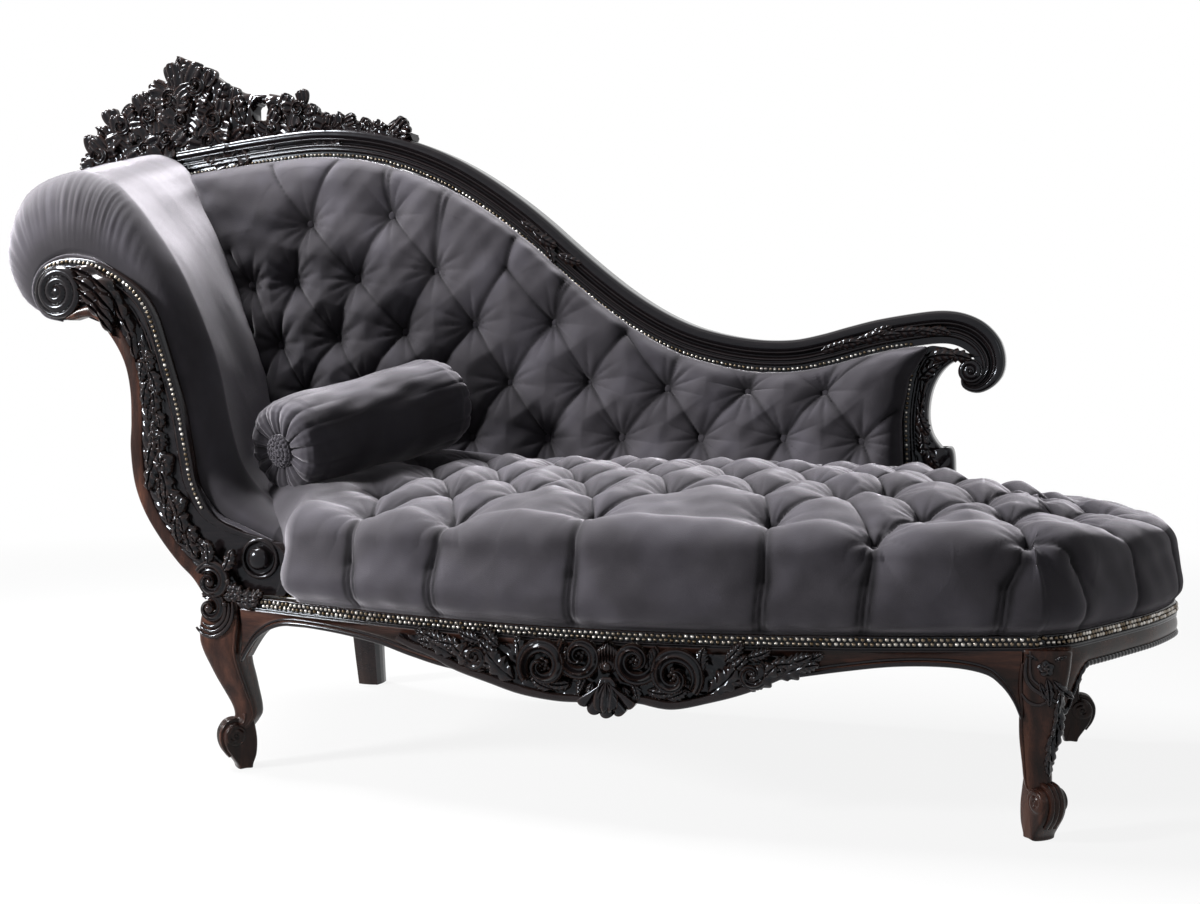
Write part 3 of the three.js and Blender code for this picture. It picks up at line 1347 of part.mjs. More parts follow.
// The part's origin is the middle of its footprint, on the floor
const extent = new THREE.Box3().setFromObject(couch);
const centre = extent.getCenter(new THREE.Vector3());
couch.position.set(-centre.x, -centre.y, -extent.min.z);

export default couch;
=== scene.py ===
import math

import bpy
import numpy as np
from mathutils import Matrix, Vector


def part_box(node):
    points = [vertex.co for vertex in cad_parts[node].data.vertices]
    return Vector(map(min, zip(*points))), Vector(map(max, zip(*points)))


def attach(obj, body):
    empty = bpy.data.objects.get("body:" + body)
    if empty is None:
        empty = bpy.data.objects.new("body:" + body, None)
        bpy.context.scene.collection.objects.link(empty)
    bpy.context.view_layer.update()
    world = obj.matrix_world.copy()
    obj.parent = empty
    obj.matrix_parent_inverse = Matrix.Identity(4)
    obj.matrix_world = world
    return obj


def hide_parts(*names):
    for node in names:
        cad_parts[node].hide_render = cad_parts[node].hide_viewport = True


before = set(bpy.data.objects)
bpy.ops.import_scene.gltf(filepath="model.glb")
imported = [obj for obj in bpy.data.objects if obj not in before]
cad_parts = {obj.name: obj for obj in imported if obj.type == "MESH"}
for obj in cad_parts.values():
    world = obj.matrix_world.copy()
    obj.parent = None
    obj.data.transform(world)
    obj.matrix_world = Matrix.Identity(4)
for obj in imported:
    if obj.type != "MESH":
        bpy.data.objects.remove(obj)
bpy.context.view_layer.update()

# Every size below is in millimetres from the front head foot: x to the foot end, y to the back, z up.
# Two CAD pieces give the place of that point in the part's own frame, in metres.
post_low, post_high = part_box("back_post_1")
rail_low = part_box("back_seat_rail")[0]
ORIGIN = np.array([(post_low.x + post_high.x) / 2 - 0.01203, rail_low.y - 0.520, 0.0])


# Curves and surfaces --------------------


def run_of(path):
    """The length of a path up to each of its points."""
    return np.concatenate([[0], np.cumsum(np.linalg.norm(np.diff(path, axis=0), axis=1))])


def columns_at(places, known, table):
    """Each column of a table, known at the given values, read off at other places."""
    return np.stack([np.interp(places, known, column) for column in table.T], 1)


def even(path, count):
    """The same polyline with count points at even distances along it."""
    path = np.asarray(path, float)
    run = run_of(path)
    return columns_at(np.linspace(0, run[-1], count), run, path)


def fair(points, count, even_steps=True):
    """A Catmull-Rom curve through the points: each span is a cubic whose end slopes are half the step
    between the neighbours."""
    p = np.asarray(points, float)
    p = np.concatenate([2 * p[:1] - p[1:2], p, 2 * p[-1:] - p[-2:-1]])
    t = np.linspace(0, 1, 24, endpoint=False)[None, :, None]
    a, b, c, d = (p[i : len(p) - 3 + i, None] for i in range(4))
    spans = 0.5 * (
        2 * b + (c - a) * t + (2 * a - 5 * b + 4 * c - d) * t**2 + (3 * b - a - 3 * c + d) * t**3
    )
    path = np.concatenate([spans.reshape(-1, p.shape[1]), p[-2:-1]])
    if even_steps:
        return even(path, count)
    return columns_at(np.linspace(0, len(path) - 1, count), np.arange(len(path)), path)


def unit(vectors):
    """Rows or grids of vectors brought to length one."""
    return vectors / np.maximum(np.linalg.norm(vectors, axis=-1, keepdims=True), 1e-9)


def headings(path):
    """Unit directions of travel at each point of a path."""
    return unit(np.gradient(np.asarray(path, float), axis=0))


def right_of(path):
    """Unit normals on the right hand of a plane path's travel."""
    along = headings(path)
    return np.stack([along[:, 1], -along[:, 0]], 1)


def smoothed(padded, weights):
    """A path padded at its ends, each column averaged over its neighbours with the given weights."""
    return np.stack([np.convolve(column, weights, "valid") for column in padded.T], 1)


def full_turn(count):
    """Angles at even steps round a circle."""
    return np.linspace(0, 2 * math.pi, count, endpoint=False)


def smoothstep(x, low, high):
    """0 below low, 1 above high, and 3 t^2 - 2 t^3 between them."""
    t = np.clip((np.asarray(x, float) - low) / (high - low), 0, 1)
    return t * t * (3 - 2 * t)


def ripple(places, size, seed):
    """A smooth wandering value near -1 to 1: the mean of nine plane waves of about the given size, each
    with a seeded direction and phase."""
    rng = np.random.default_rng(seed)
    places = np.asarray(places, float)
    total = np.zeros(places.shape[:-1])
    for _ in range(9):
        way = rng.normal(size=places.shape[-1])
        way *= 2 * math.pi / (np.linalg.norm(way) * size * rng.uniform(0.7, 1.5))
        total += np.sin(places @ way + rng.uniform(0, 2 * math.pi))
    return total / 3


def grid_faces(rows, columns, wrap=False):
    """Quads between neighbouring rows and columns of a grid, closed round the columns when wrapped."""
    c = np.arange(columns if wrap else columns - 1)
    nxt = (c + 1) % columns
    r = np.arange(rows - 1)[:, None] * columns
    quads = np.stack([r + c, r + nxt, r + columns + nxt, r + columns + c], -1)
    return quads.reshape(-1, 4)


def turned_out(points, faces):
    """The faces with their order reversed where the closed shape's signed volume is negative."""
    a, b, c = (points[faces[:, i]] for i in range(3))
    d = points[np.where(faces[:, 3] < 0, faces[:, 2], faces[:, 3])]
    volume = np.einsum("ij,ij->", a, np.cross(b, c)) + np.einsum("ij,ij->", a, np.cross(c, d))
    if volume >= 0:
        return faces
    quads = faces[:, 3] >= 0
    flipped = faces[:, [0, 2, 1, 3]]
    flipped[quads] = faces[quads][:, [0, 3, 2, 1]]
    return flipped


def closed(rings, **marks):
    """A closed body through rings of points: a wall between neighbouring rings and a fan from the middle
    of each end ring."""
    rings = np.asarray(rings, float)
    rows, columns = rings.shape[:2]
    points = np.concatenate([rings.reshape(-1, 3), rings[0].mean(0)[None], rings[-1].mean(0)[None]])
    c = np.arange(columns)
    nxt = (c + 1) % columns
    last = (rows - 1) * columns
    gap = np.full(columns, -1)
    faces = np.concatenate(
        [
            grid_faces(rows, columns, wrap=True),
            np.stack([c, np.full(columns, rows * columns), nxt, gap], 1),
            np.stack([last + nxt, np.full(columns, rows * columns + 1), last + c, gap], 1),
        ]
    )
    full = {name: np.concatenate([np.ravel(v), [np.mean(v[0]), np.mean(v[-1])]]) for name, v in marks.items()}
    return points, turned_out(points, faces), full


def slab(front, back, **marks):
    """A closed body between two grids of the same size: both faces and a rim round them."""
    front, back = np.asarray(front, float), np.asarray(back, float)
    rows, columns = front.shape[:2]
    count = rows * columns
    index = np.arange(count).reshape(rows, columns)
    rim = np.concatenate([index[0], index[1:, -1], index[-1, -2::-1], index[-2:0:-1, 0]])
    following = np.roll(rim, -1)
    face = grid_faces(rows, columns)
    wall = np.stack([following, rim, rim + count, following + count], 1)
    faces = np.concatenate([face, face[:, ::-1] + count, wall])
    points = np.concatenate([front.reshape(-1, 3), back.reshape(-1, 3)])
    full = {name: np.concatenate([np.ravel(v), np.ravel(v)]) for name, v in marks.items()}
    return points, turned_out(points, faces), full


def together(*shapes):
    """Several shapes as one: their points one after another, with each shape's faces counted on."""
    starts = np.cumsum([0] + [len(s[0]) for s in shapes[:-1]])
    faces = [np.where(s[1] < 0, -1, s[1] + n) for s, n in zip(shapes, starts)]
    names = sorted({name for s in shapes for name in s[2]})
    marks = {name: np.concatenate([s[2].get(name, np.zeros(len(s[0]))) for s in shapes]) for name in names}
    return np.concatenate([s[0] for s in shapes]), np.concatenate(faces), marks


def swept(path, section, side, up):
    """A section carried along a path: path + side * u + up * v for each section point (u, v)."""
    section = np.broadcast_to(section, (len(path),) + np.shape(section)[-2:])
    side, up = (np.broadcast_to(v, (len(path), 3)) for v in (side, up))
    return np.asarray(path)[:, None] + side[:, None] * section[..., :1] + up[:, None] * section[..., 1:2]


def tube(path, radius, sides):
    """A round bar: circles of the given radius or radii about a path, square to it."""
    path = np.asarray(path, float)
    along = headings(path)
    first = unit(np.cross(along, [0.3, 0.2, 1.0]))
    second = np.cross(along, first)
    turn = full_turn(sides)
    circle = np.stack([np.cos(turn), np.sin(turn)], 1)
    reach = np.broadcast_to(radius, len(path))[:, None, None]
    return closed(swept(path, circle[None] * reach, first, second))


def spun(profile, place, axis, sides):
    """A turned body: a profile of (radius, height) pairs spun about an axis through a place."""
    axis = np.asarray(axis, float) / np.linalg.norm(axis)
    first = np.cross(axis, [0.12, 0.31, 0.94])
    first /= np.linalg.norm(first)
    second = np.cross(axis, first)
    turn = full_turn(sides)
    ring = np.cos(turn)[:, None] * first + np.sin(turn)[:, None] * second
    profile = np.asarray(profile, float)
    rings = profile[:, :1, None] * ring[None] + profile[:, 1:2, None] * axis[None, None]
    return closed(rings + np.asarray(place, float))


def normals_of(points):
    """Unit normals of a grid of points, as the cross product of its two directions."""
    return unit(np.cross(np.gradient(points, axis=1), np.gradient(points, axis=0)))


def ring_normals(points):
    """Unit normals of a grid whose rows are closed rings."""
    return normals_of(np.concatenate([points[:, -2:], points, points[:, :2]], 1))[:, 2:-2]


def piece(name, shape, finish, nodes=(), body="couch", crease=None):
    """Makes one object from a shape in millimetres, hangs it on its body and lets it stand for its nodes."""
    points, faces, marks = shape
    material, slot = finish
    mesh = bpy.data.meshes.new(name)
    sizes = np.where(faces[:, 3] < 0, 3, 4)
    corners = faces.ravel()[faces.ravel() >= 0]
    mesh.vertices.add(len(points))
    mesh.vertices.foreach_set("co", (points * 0.001 + ORIGIN).astype(np.float32).ravel())
    mesh.loops.add(len(corners))
    mesh.loops.foreach_set("vertex_index", corners.astype(np.int32))
    mesh.polygons.add(len(faces))
    mesh.polygons.foreach_set("loop_start", (np.cumsum(sizes) - sizes).astype(np.int32))
    for mark, values in marks.items():
        layer = mesh.attributes.new(mark, "FLOAT", "POINT")
        layer.data.foreach_set("value", np.asarray(values, np.float32))
    mesh.update(calc_edges=True)
    mesh.shade_smooth()
    if crease:
        mesh.set_sharp_from_angle(angle=math.radians(crease))
    mesh.materials.append(material)
    made = bpy.data.objects.new(name, mesh)
    bpy.context.scene.collection.objects.link(made)
    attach(made, body)
    if nodes:
        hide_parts(*nodes)
    return made


# Finishes --------------------


def shade(hex_code):
    """An sRGB hex colour as linear red, green, blue and alpha."""
    values = [int(hex_code[i : i + 2], 16) / 255 for i in (1, 3, 5)]
    return [v / 12.92 if v <= 0.04045 else ((v + 0.055) / 1.055) ** 2.4 for v in values] + [1]


def node(tree, kind, inputs=None, stops=(), **settings):
    """Adds one node with its settings and a ramp's stops, which are positions and hex colours. Each of its
    inputs is given a value, or another node's output to link. Returns its outputs."""
    made = tree.nodes.new("ShaderNode" + kind)
    for name, value in settings.items():
        setattr(made, name, value)
    for socket, value in (inputs or {}).items():
        if isinstance(value, bpy.types.NodeSocket):
            tree.links.new(value, made.inputs[socket])
        else:
            made.inputs[socket].default_value = value
    for i, (position, colour) in enumerate(stops):
        bar = made.color_ramp.elements
        element = bar[i] if i < len(bar) else bar.new(position)
        element.position, element.color = position, shade(colour)
    return made.outputs


def finish(name):
    """An empty node material, and the Object coordinates that its pattern reads."""
    made = bpy.data.materials.new(name)
    made.use_nodes = True
    tree = made.node_tree
    tree.nodes.clear()
    return made, tree, node(tree, "TexCoord")["Object"]


def velvet():
    """Cotton velvet, a cut pile about 1.5 mm long: soft patches where the nap lies another way, painted
    shade that darkens the creases, and a pale bloom where the surface turns away."""
    made, tree, place = finish("charcoal_cotton_velvet")
    # nap patches 90 mm across, brushed streaks 35 mm across, and pile drawn 1.2 mm coarse so it shows
    brushed = node(tree, "Mapping", {"Vector": place, "Scale": (30, 30, 26)})[0]
    patch = node(tree, "TexNoise", {"Vector": place, "Scale": 11.0, "Detail": 2.5})["Fac"]
    streak = node(tree, "TexNoise", {"Vector": brushed, "Scale": 1.0, "Detail": 2.5, "Distortion": 0.5})["Fac"]
    pile = node(tree, "TexNoise", {"Vector": place, "Scale": 850.0, "Detail": 1.0})["Fac"]
    faint = node(tree, "Math", {0: streak, 1: 0.24}, operation="MULTIPLY")[0]
    nap = node(tree, "Math", {0: patch, 1: 0.8, 2: faint}, operation="MULTIPLY_ADD")[0]
    tones = [(0.38, "#2a282c"), (0.5, "#302e32"), (0.6, "#343237"), (0.72, "#39373c")]
    cloth = node(tree, "ValToRGB", {"Fac": nap}, tones)["Color"]
    # the crease mark is painted shade: it mixes the cloth towards near black in folds, pits and tucks
    crease = node(tree, "Attribute", attribute_name="crease")["Fac"]
    colour = node(tree, "Mix", {"Factor": crease, 6: cloth, 7: shade("#0b0a0c")}, data_type="RGBA")[2]
    look = {
        "Base Color": colour,
        "Normal": node(tree, "Bump", {"Height": pile, "Strength": 0.3, "Distance": 0.0012})[0],
        "Roughness": node(tree, "MapRange", {"Value": patch, "To Min": 0.78, "To Max": 0.95})[0],
        "IOR": 1.45,
        "Specular IOR Level": 0.12,
        "Sheen Weight": 0.7,
        "Sheen Roughness": 0.4,
        "Sheen Tint": shade("#cfcbd2"),
    }
    node(tree, "OutputMaterial", {"Surface": node(tree, "BsdfPrincipled", look)[0]})
    return made


def ebonised_wood():
    """Beech stained black and French polished: near black with a brown cast where edges have worn, open
    grain 3 mm apart just seen, and a wet gloss that breaks up in patches of 26 mm where hands rubbed."""
    made, tree, place = finish("ebonised_beech_polished")
    along = node(tree, "Mapping", {"Vector": place, "Scale": (40, 300, 330)})[0]
    grain = node(tree, "TexNoise", {"Vector": along, "Scale": 1.0, "Detail": 4.0})["Fac"]
    rubbed = node(tree, "TexNoise", {"Vector": place, "Scale": 38.0, "Detail": 3.0})["Fac"]
    edge = node(tree, "NewGeometry")["Pointiness"]
    wear = node(tree, "MapRange", {"Value": edge, "From Min": 0.505, "From Max": 0.58, "To Max": 0.55})[0]
    worn = node(tree, "Math", {0: wear, 1: rubbed}, operation="MULTIPLY")[0]
    wood = node(tree, "ValToRGB", {"Fac": grain}, [(0.3, "#090708"), (0.7, "#130f10")])["Color"]
    look = {
        "Base Color": node(tree, "Mix", {"Factor": worn, 6: wood, 7: shade("#3c2920")}, data_type="RGBA")[2],
        "Roughness": node(tree, "MapRange", {"Value": rubbed, "To Min": 0.09, "To Max": 0.22})[0],
        "Normal": node(tree, "Bump", {"Height": grain, "Strength": 0.05, "Distance": 0.0005})[0],
        "IOR": 1.5,
        "Specular IOR Level": 0.26,
        # the pale blue specular tint is painted colour in the highlights; the lamps are white
        "Specular Tint": shade("#e4ecf6"),
    }
    node(tree, "OutputMaterial", {"Surface": node(tree, "BsdfPrincipled", look)[0]})
    return made


def mahogany(name, stretch):
    """Mahogany under dark shellac: red-brown figure in bands about 18 mm wide with pores 1.3 mm apart,
    along the length of the piece, under a clear gloss."""
    made, tree, place = finish(name)
    along = node(tree, "Mapping", {"Vector": place, "Scale": stretch})[0]
    figure = node(tree, "TexNoise", {"Vector": along, "Scale": 4.0, "Detail": 3.0, "Distortion": 0.3})["Fac"]
    pores = node(tree, "TexNoise", {"Vector": along, "Scale": 55.0, "Detail": 2.0})["Fac"]
    both = node(tree, "Math", {0: pores, 1: 0.22, 2: figure}, operation="MULTIPLY_ADD")[0]
    tones = [(0.42, "#130b09"), (0.58, "#241511"), (0.7, "#341f18"), (0.82, "#42291f")]
    look = {
        "Base Color": node(tree, "ValToRGB", {"Fac": both}, tones)["Color"],
        "Roughness": node(tree, "MapRange", {"Value": figure, "To Min": 0.18, "To Max": 0.32})[0],
        "Normal": node(tree, "Bump", {"Height": pores, "Strength": 0.1, "Distance": 0.0005})[0],
        "IOR": 1.5,
        "Specular IOR Level": 0.15,
    }
    node(tree, "OutputMaterial", {"Surface": node(tree, "BsdfPrincipled", look)[0]})
    return made


def nail_metal():
    """Domed upholstery nails of plated steel: bright silver ones among antique bronze ones, each a shade
    of its own, and darker towards its foot."""
    made, tree, place = finish("plated_upholstery_nails")
    tone = node(tree, "Attribute", attribute_name="tone")["Fac"]
    foot = node(tree, "Attribute", attribute_name="foot")["Fac"]
    dust = node(tree, "TexNoise", {"Vector": place, "Scale": 500.0, "Detail": 2.0})["Fac"]
    tones = [(0.0, "#4c4030"), (0.35, "#6d6458"), (0.7, "#96918a"), (1.0, "#bcb9b4")]
    plate = node(tree, "ValToRGB", {"Fac": tone}, tones)["Color"]
    look = {
        "Base Color": node(tree, "Mix", {"Factor": foot, 6: plate, 7: shade("#14110f")}, data_type="RGBA")[2],
        "Roughness": node(tree, "MapRange", {"Value": dust, "To Min": 0.22, "To Max": 0.45})[0],
        "Metallic": 1.0,
    }
    node(tree, "OutputMaterial", {"Surface": node(tree, "BsdfPrincipled", look)[0]})
    return made


def bare_timber():
    """Planed beech left unfinished inside the frame: pale straw with short darker flecks 4 mm apart."""
    made, tree, place = finish("planed_beech")
    along = node(tree, "Mapping", {"Vector": place, "Scale": (30, 260, 260)})[0]
    fleck = node(tree, "TexNoise", {"Vector": along, "Scale": 1.0, "Detail": 4.0})["Fac"]
    tones = [(0.35, "#8a6a44"), (0.6, "#b08c5e"), (0.8, "#c2a071")]
    wood = node(tree, "ValToRGB", {"Fac": fleck}, tones)["Color"]
    look = {"Base Color": wood, "Roughness": 0.7, "IOR": 1.5}
    node(tree, "OutputMaterial", {"Surface": node(tree, "BsdfPrincipled", look)[0]})
    return made


def woven(name, pale, deep, thread):
    """Plain woven cloth: two crossed sets of thread bands, thread millimetres wide, pale on the crowns
    and deep in the gaps, where the deep colour is painted shade."""
    made, tree, place = finish(name)
    bands = {"Vector": place, "Scale": 1000 / thread * math.pi / 20, "Distortion": 0.6}
    warp, weft = (node(tree, "TexWave", bands, bands_direction=way)["Fac"] for way in "XY")
    both = node(tree, "Math", {0: warp, 1: weft}, operation="MULTIPLY")[0]
    look = {
        # the deep colour between the threads is painted shade in the gaps
        "Base Color": node(tree, "ValToRGB", {"Fac": both}, [(0.1, deep), (0.7, pale)])["Color"],
        "Normal": node(tree, "Bump", {"Height": both, "Strength": 0.4, "Distance": 0.0006})[0],
        "Roughness": 0.92,
        "IOR": 1.45,
    }
    node(tree, "OutputMaterial", {"Surface": node(tree, "BsdfPrincipled", look)[0]})
    return made


def spring_steel():
    """Coppered steel wire: warm grey metal with rust-brown blooms about 8 mm across."""
    made, tree, place = finish("coppered_spring_steel")
    bloom = node(tree, "TexNoise", {"Vector": place, "Scale": 120.0, "Detail": 3.0})["Fac"]
    metal = node(tree, "ValToRGB", {"Fac": bloom}, [(0.4, "#7d7a76"), (0.65, "#8a6a52")])["Color"]
    look = {"Base Color": metal, "Metallic": 1.0, "Roughness": 0.4}
    node(tree, "OutputMaterial", {"Surface": node(tree, "BsdfPrincipled", look)[0]})
    return made


# each finish, paired with a slot name
VELVET = velvet(), "velvet"
EBONY = ebonised_wood(), "ebonised_wood"
MAHOGANY_RAIL = mahogany("mahogany_grain_along_the_rail", (1.2, 9, 14)), "mahogany"
MAHOGANY_LEG = mahogany("mahogany_grain_down_the_leg", (14, 14, 2)), "mahogany"
NAILS = nail_metal(), "nail_metal"
BEECH = bare_timber()
JUTE = woven("jute_hessian", "#a8946b", "#54462c", 3.0)
LINING = woven("black_cotton_lining", "#232225", "#0c0b0d", 1.5)
STEEL = spring_steel()


# Upholstery --------------------


def on_front(pairs, y):
    """Front-view points (x, z) stood up at a depth y."""
    pairs = np.asarray(pairs, float)
    return np.stack([pairs[..., 0], np.broadcast_to(y, pairs.shape[:-1]), pairs[..., 1]], -1)


def tufting(chart, buttons, pleats, button_depth, button_radius, seed, fan, fade=24.0, between=0.72):
    """How far buttoned cloth sinks at each place of its flat chart. Along a pleat it falls as a quarter
    circle does: depth * (1 - sqrt(1 - (1 - distance / reach)^2)), steeper on its tucked side. The depth
    goes from a share of itself between the buttons to 1.22 of it at them, over a length of fade. At a
    button it falls as depth * exp(-(distance / radius)^1.3), and small folds fan out from it. The pleats
    are joined by their fourth powers, so that they meet smoothly. Returns the sinking, and a 0 to 1 mark
    of painted shade that is high in the creases, in the fanned folds and round the buttons."""
    flat = chart.reshape(-1, 2)
    fourth = np.zeros(len(flat))
    crease = np.zeros(len(flat))
    for x0, y0, x1, y1, depth, reach, lean in pleats:
        a, way = np.array([x0, y0]), np.array([x1 - x0, y1 - y0])
        length = np.linalg.norm(way)
        low, high = np.minimum(a, a + way) - 1.5 * reach, np.maximum(a, a + way) + 1.5 * reach
        near = np.all((flat > low) & (flat < high), axis=1)
        off = flat[near] - a
        share = np.clip(off @ way / length**2, 0, 1)
        bow = 3.0 * np.sin(math.pi * share) * lean
        sideways = (off[:, 0] * way[1] - off[:, 1] * way[0]) / length + bow
        beyond = off @ way / length
        beyond = np.maximum(np.maximum(-beyond, beyond - length), 0)
        distance = np.hypot(sideways, beyond)
        wide = reach * (1 + 0.35 * lean * np.sign(sideways))
        fall = np.clip(1 - distance / wide, 0, 1)
        ends = np.exp(-np.minimum(share, 1 - share) * length / fade)
        deep = depth * (between + (1.22 - between) * ends)
        fourth[near] += (deep * (1 - np.sqrt(np.maximum(1 - fall**2, 0)))) ** 4
        # painted shade along each pleat's fold
        pleat_shade = np.exp(-((distance / 4.6) ** 2)) * (between - 0.12 + (1.12 - between) * ends)
        crease[near] = np.maximum(crease[near], pleat_shade)
    sink = fourth**0.25
    rng = np.random.default_rng(seed)
    pit = np.zeros(len(flat))
    for x, y in buttons:
        near = np.hypot(flat[:, 0] - x, flat[:, 1] - y) < 95
        off = flat[near] - (x, y)
        distance = np.hypot(off[:, 0], off[:, 1])
        turn = np.arctan2(off[:, 1], off[:, 0])
        start = rng.uniform(0, 6)
        wave = np.abs(np.sin(0.5 * rng.integers(9, 13) * turn + start + 0.7 * np.sin(2 * turn + start)))
        around = np.exp(-((distance / 42) ** 2)) * smoothstep(distance, 5, 15)
        pit[near] = np.maximum(pit[near], button_depth * np.exp(-((distance / button_radius) ** 1.3)))
        sink[near] += fan * (1 - 1.8 * wave**0.5) * around
        # painted shade in the folds that fan out from each button, and darkest in the pit round it
        crease[near] = np.maximum(crease[near], 0.5 * np.clip(1 - wave / 0.22, 0, 1) * around)
        crease[near] = np.maximum(crease[near], 0.85 * np.exp(-((distance / 16) ** 2)))
    sink = sink + pit * (1 - 0.35 * np.clip(sink / 12, 0, 1))
    shape = chart.shape[:-1]
    return sink.reshape(shape), crease.reshape(shape)


def lattice_pleats(rows, depth, reach, links):
    """Pleats from each button of a row to the buttons of the next row that lie within a sideways step."""
    pleats = []
    for upper, lower in zip(rows[:-1], rows[1:]):
        for x0, y0 in upper:
            for x1, y1 in lower:
                if abs(x1 - x0) < links:
                    pleats.append((x0, y0, x1, y1, depth, reach, 0.5 if x1 > x0 else -0.5))
    return pleats


def button(place, normal):
    """A covered button: a dome of velvet over a disc, with its rim tucked under."""
    radius, height = 8.6, 5.0
    dome = [(1.0, 0.0), (0.97, height * 0.3), (0.8, height * 0.66), (0.45, height * 0.93), (0.05, height)]
    return spun([(radius * r, h) for r, h in [(0.9, -2.4), *dome]], place, normal, 16)


def rail_bow(x):
    """The front rail's bow: 0 at its ends and 1 halfway, as half a sine wave."""
    rail_start, rail_length = 12.03, 1133
    return np.sin(math.pi * (np.asarray(x, float) - rail_start) / rail_length)


def front_edge_y(x):
    """The seat's front edge in plan, bowed forwards by 58."""
    return -18 - 58 * rail_bow(x)


def front_rail_top(x):
    """The height of the front rail's top, which dips by 11."""
    return 262 - 11 * np.clip(rail_bow(x), 0, 1)


# The round foot end in plan, from the front foot to the back foot
FOOT_EDGE = [
    (1140.7, -14), (1175.6, 14), (1205.7, 61.6), (1243.2, 128.1), (1284.3, 206.5), (1312.4, 280), (1320.4, 324.8),
    (1311.4, 385), (1288.2, 451.5), (1251.3, 514.5), (1202.8, 562.1),
]
foot_edge = fair(FOOT_EDGE, 240)

# Rows of buttons on the seat in plan, from the one along its front edge to the one behind the back
SEAT_ROWS = [
    [(236, -8), (372, -30), (566, -10), (803, 10), (942, -30), (1128, 2)],
    [(208, 88), (321, 84), (432, 80), (530, 92), (640, 112), (766, 124), (876, 122), (994, 66), (1102, 92)],
    [(262, 172), (372, 156), (482, 184), (590, 226), (706, 226), (826, 211), (938, 150), (1064, 152), (1168, 196)],
    [
        (206, 262), (318, 258), (424, 284), (540, 318), (650, 330), (778, 312), (898, 270), (1008, 246), (1112, 262),
        (1216, 292),
    ],
    [(262, 352), (372, 350), (480, 366), (596, 400), (712, 398), (836, 378), (948, 352), (1058, 346), (1164, 350)],
    [(318, 436), (430, 440), (545, 458), (655, 470), (775, 462), (895, 440), (1008, 434), (1112, 432), (1212, 420)],
]
# The seat's left end, before and behind its farthest point, and its back edge
SEAT_LEFT_FRONT = [(-58, 300), (-44, 240), (4, 130), (58, 52), (98, 20), (118, 2), (127, -22), (142, -39)]
SEAT_LEFT_BACK = [(-58, 300), (-72, 380), (-76, 420), (-62, 436)]
SEAT_BACK = [(-62, 436), (400, 438), (860, 446), (960, 466), (1060, 505), (1150, 545), (1203, 562)]


def seat_outline():
    """The seat's edge as two runs from its left end to the tip of the foot, one by the front and one by
    the back, with as many points each, so that they pair up across a spine line."""
    left, long, round_end = 26, 540, 134
    x = np.linspace(142, 1140.7, long + 1)[:-1]
    tip = int(np.argmax(foot_edge[:, 0]))
    front = np.concatenate(
        [
            fair(SEAT_LEFT_FRONT, left + 1)[:-1],
            np.stack([x, front_edge_y(x)], 1),
            even(foot_edge[: tip + 1], round_end),
        ]
    )
    back = np.concatenate(
        [
            fair(SEAT_LEFT_BACK, left + 1)[:-1],
            fair(SEAT_BACK, long + 1)[:-1],
            even(foot_edge[: tip - 1 : -1], round_end + 1)[:-1],
        ]
    )
    along = np.concatenate(
        [np.linspace(60, 130, left), np.linspace(130, 1134, long), np.linspace(1134.1, 1142, round_end)]
    )
    spine = np.stack([along, 236 + 50 * smoothstep(along, 500, 1140)], 1)
    return np.concatenate([front, back[::-1]]), np.concatenate([spine, spine[::-1]])


def seat_depth(x, y):
    """How far in from the free edges a place on the seat is: the front's bow, the foot's curve and the free
    part of the back, blended as a soft least."""
    d_front = y - front_edge_y(np.clip(x, 12, 1145)) + 260 * smoothstep(x, 1120, 1260)
    gap = np.stack([x, y], -1)[..., None, :] - foot_edge[::8]
    d_foot = np.sqrt(np.min(np.sum(gap**2, -1), -1))
    d_back = np.maximum(np.interp(x, *zip(*SEAT_BACK)) - y, 0) + 300 * (1 - smoothstep(x, 960, 1060))
    soft = 38.0
    return -soft * np.log(np.exp(-d_front / soft) + np.exp(-d_foot / soft) + np.exp(-d_back / soft))


def seat_tufts(chart):
    """The seat's buttons, its diamond of pleats, the pleats and thin welts that run down its wall, and
    long soft pleats over the foot end, as one sinking over the chart."""
    edge_row, next_row = SEAT_ROWS[:2]
    pleats = lattice_pleats(SEAT_ROWS[1:], 21, 50, 92)
    for (x, y), neighbours in zip(edge_row, [(0, 1), (1, 2), (3, 4), (5, 6), (6, 7), (8,)]):
        for i in neighbours:
            pleats.append((x, y, *next_row[i], 20.0, 56, 0.5 if next_row[i][0] > x else -0.5))
    for i in (2, 4, 7):
        pleats.append((*next_row[i], *next_row[i + 1], 11.0, 34, 0.4))
    for (x, y), foot_x in zip(edge_row, [231, 358, 560, 812, 940, 1106]):
        edge = front_edge_y(foot_x)
        pleats.append((x, y, foot_x, edge - 30, 10.0, 44, 0.0))
        pleats.append((foot_x, edge - 30, foot_x, edge - 92, 6.5, 32, 0.0))
        for side in (-1, 0, 1):
            pleats.append((x + 2.5 * side, y - 8, foot_x + 6.5 * side, edge - 30, 5.0, 6.5, 0.0))
            pleats.append((foot_x + 6.5 * side, edge - 30, foot_x + 7.5 * side, edge - 112, 5.0, 6.5, 0.0))
    for x0, y0, x1, y1, x2, y2 in [
        (1168, 196, 1232, 152, 1345, 112), (1216, 292, 1275, 282, 1420, 262), (1212, 420, 1262, 400, 1415, 400),
        (1128, 2, 1186, 22, 1262, -10),
    ]:
        pleats.append((x0, y0, x1, y1, 12.0, 50, 0.4))
        pleats.append((x1, y1, x2, y2, 7.0, 40, 0.4))
    return tufting(chart, [b for row in SEAT_ROWS for b in row], pleats, 22, 30, seed=4, fan=2.2)


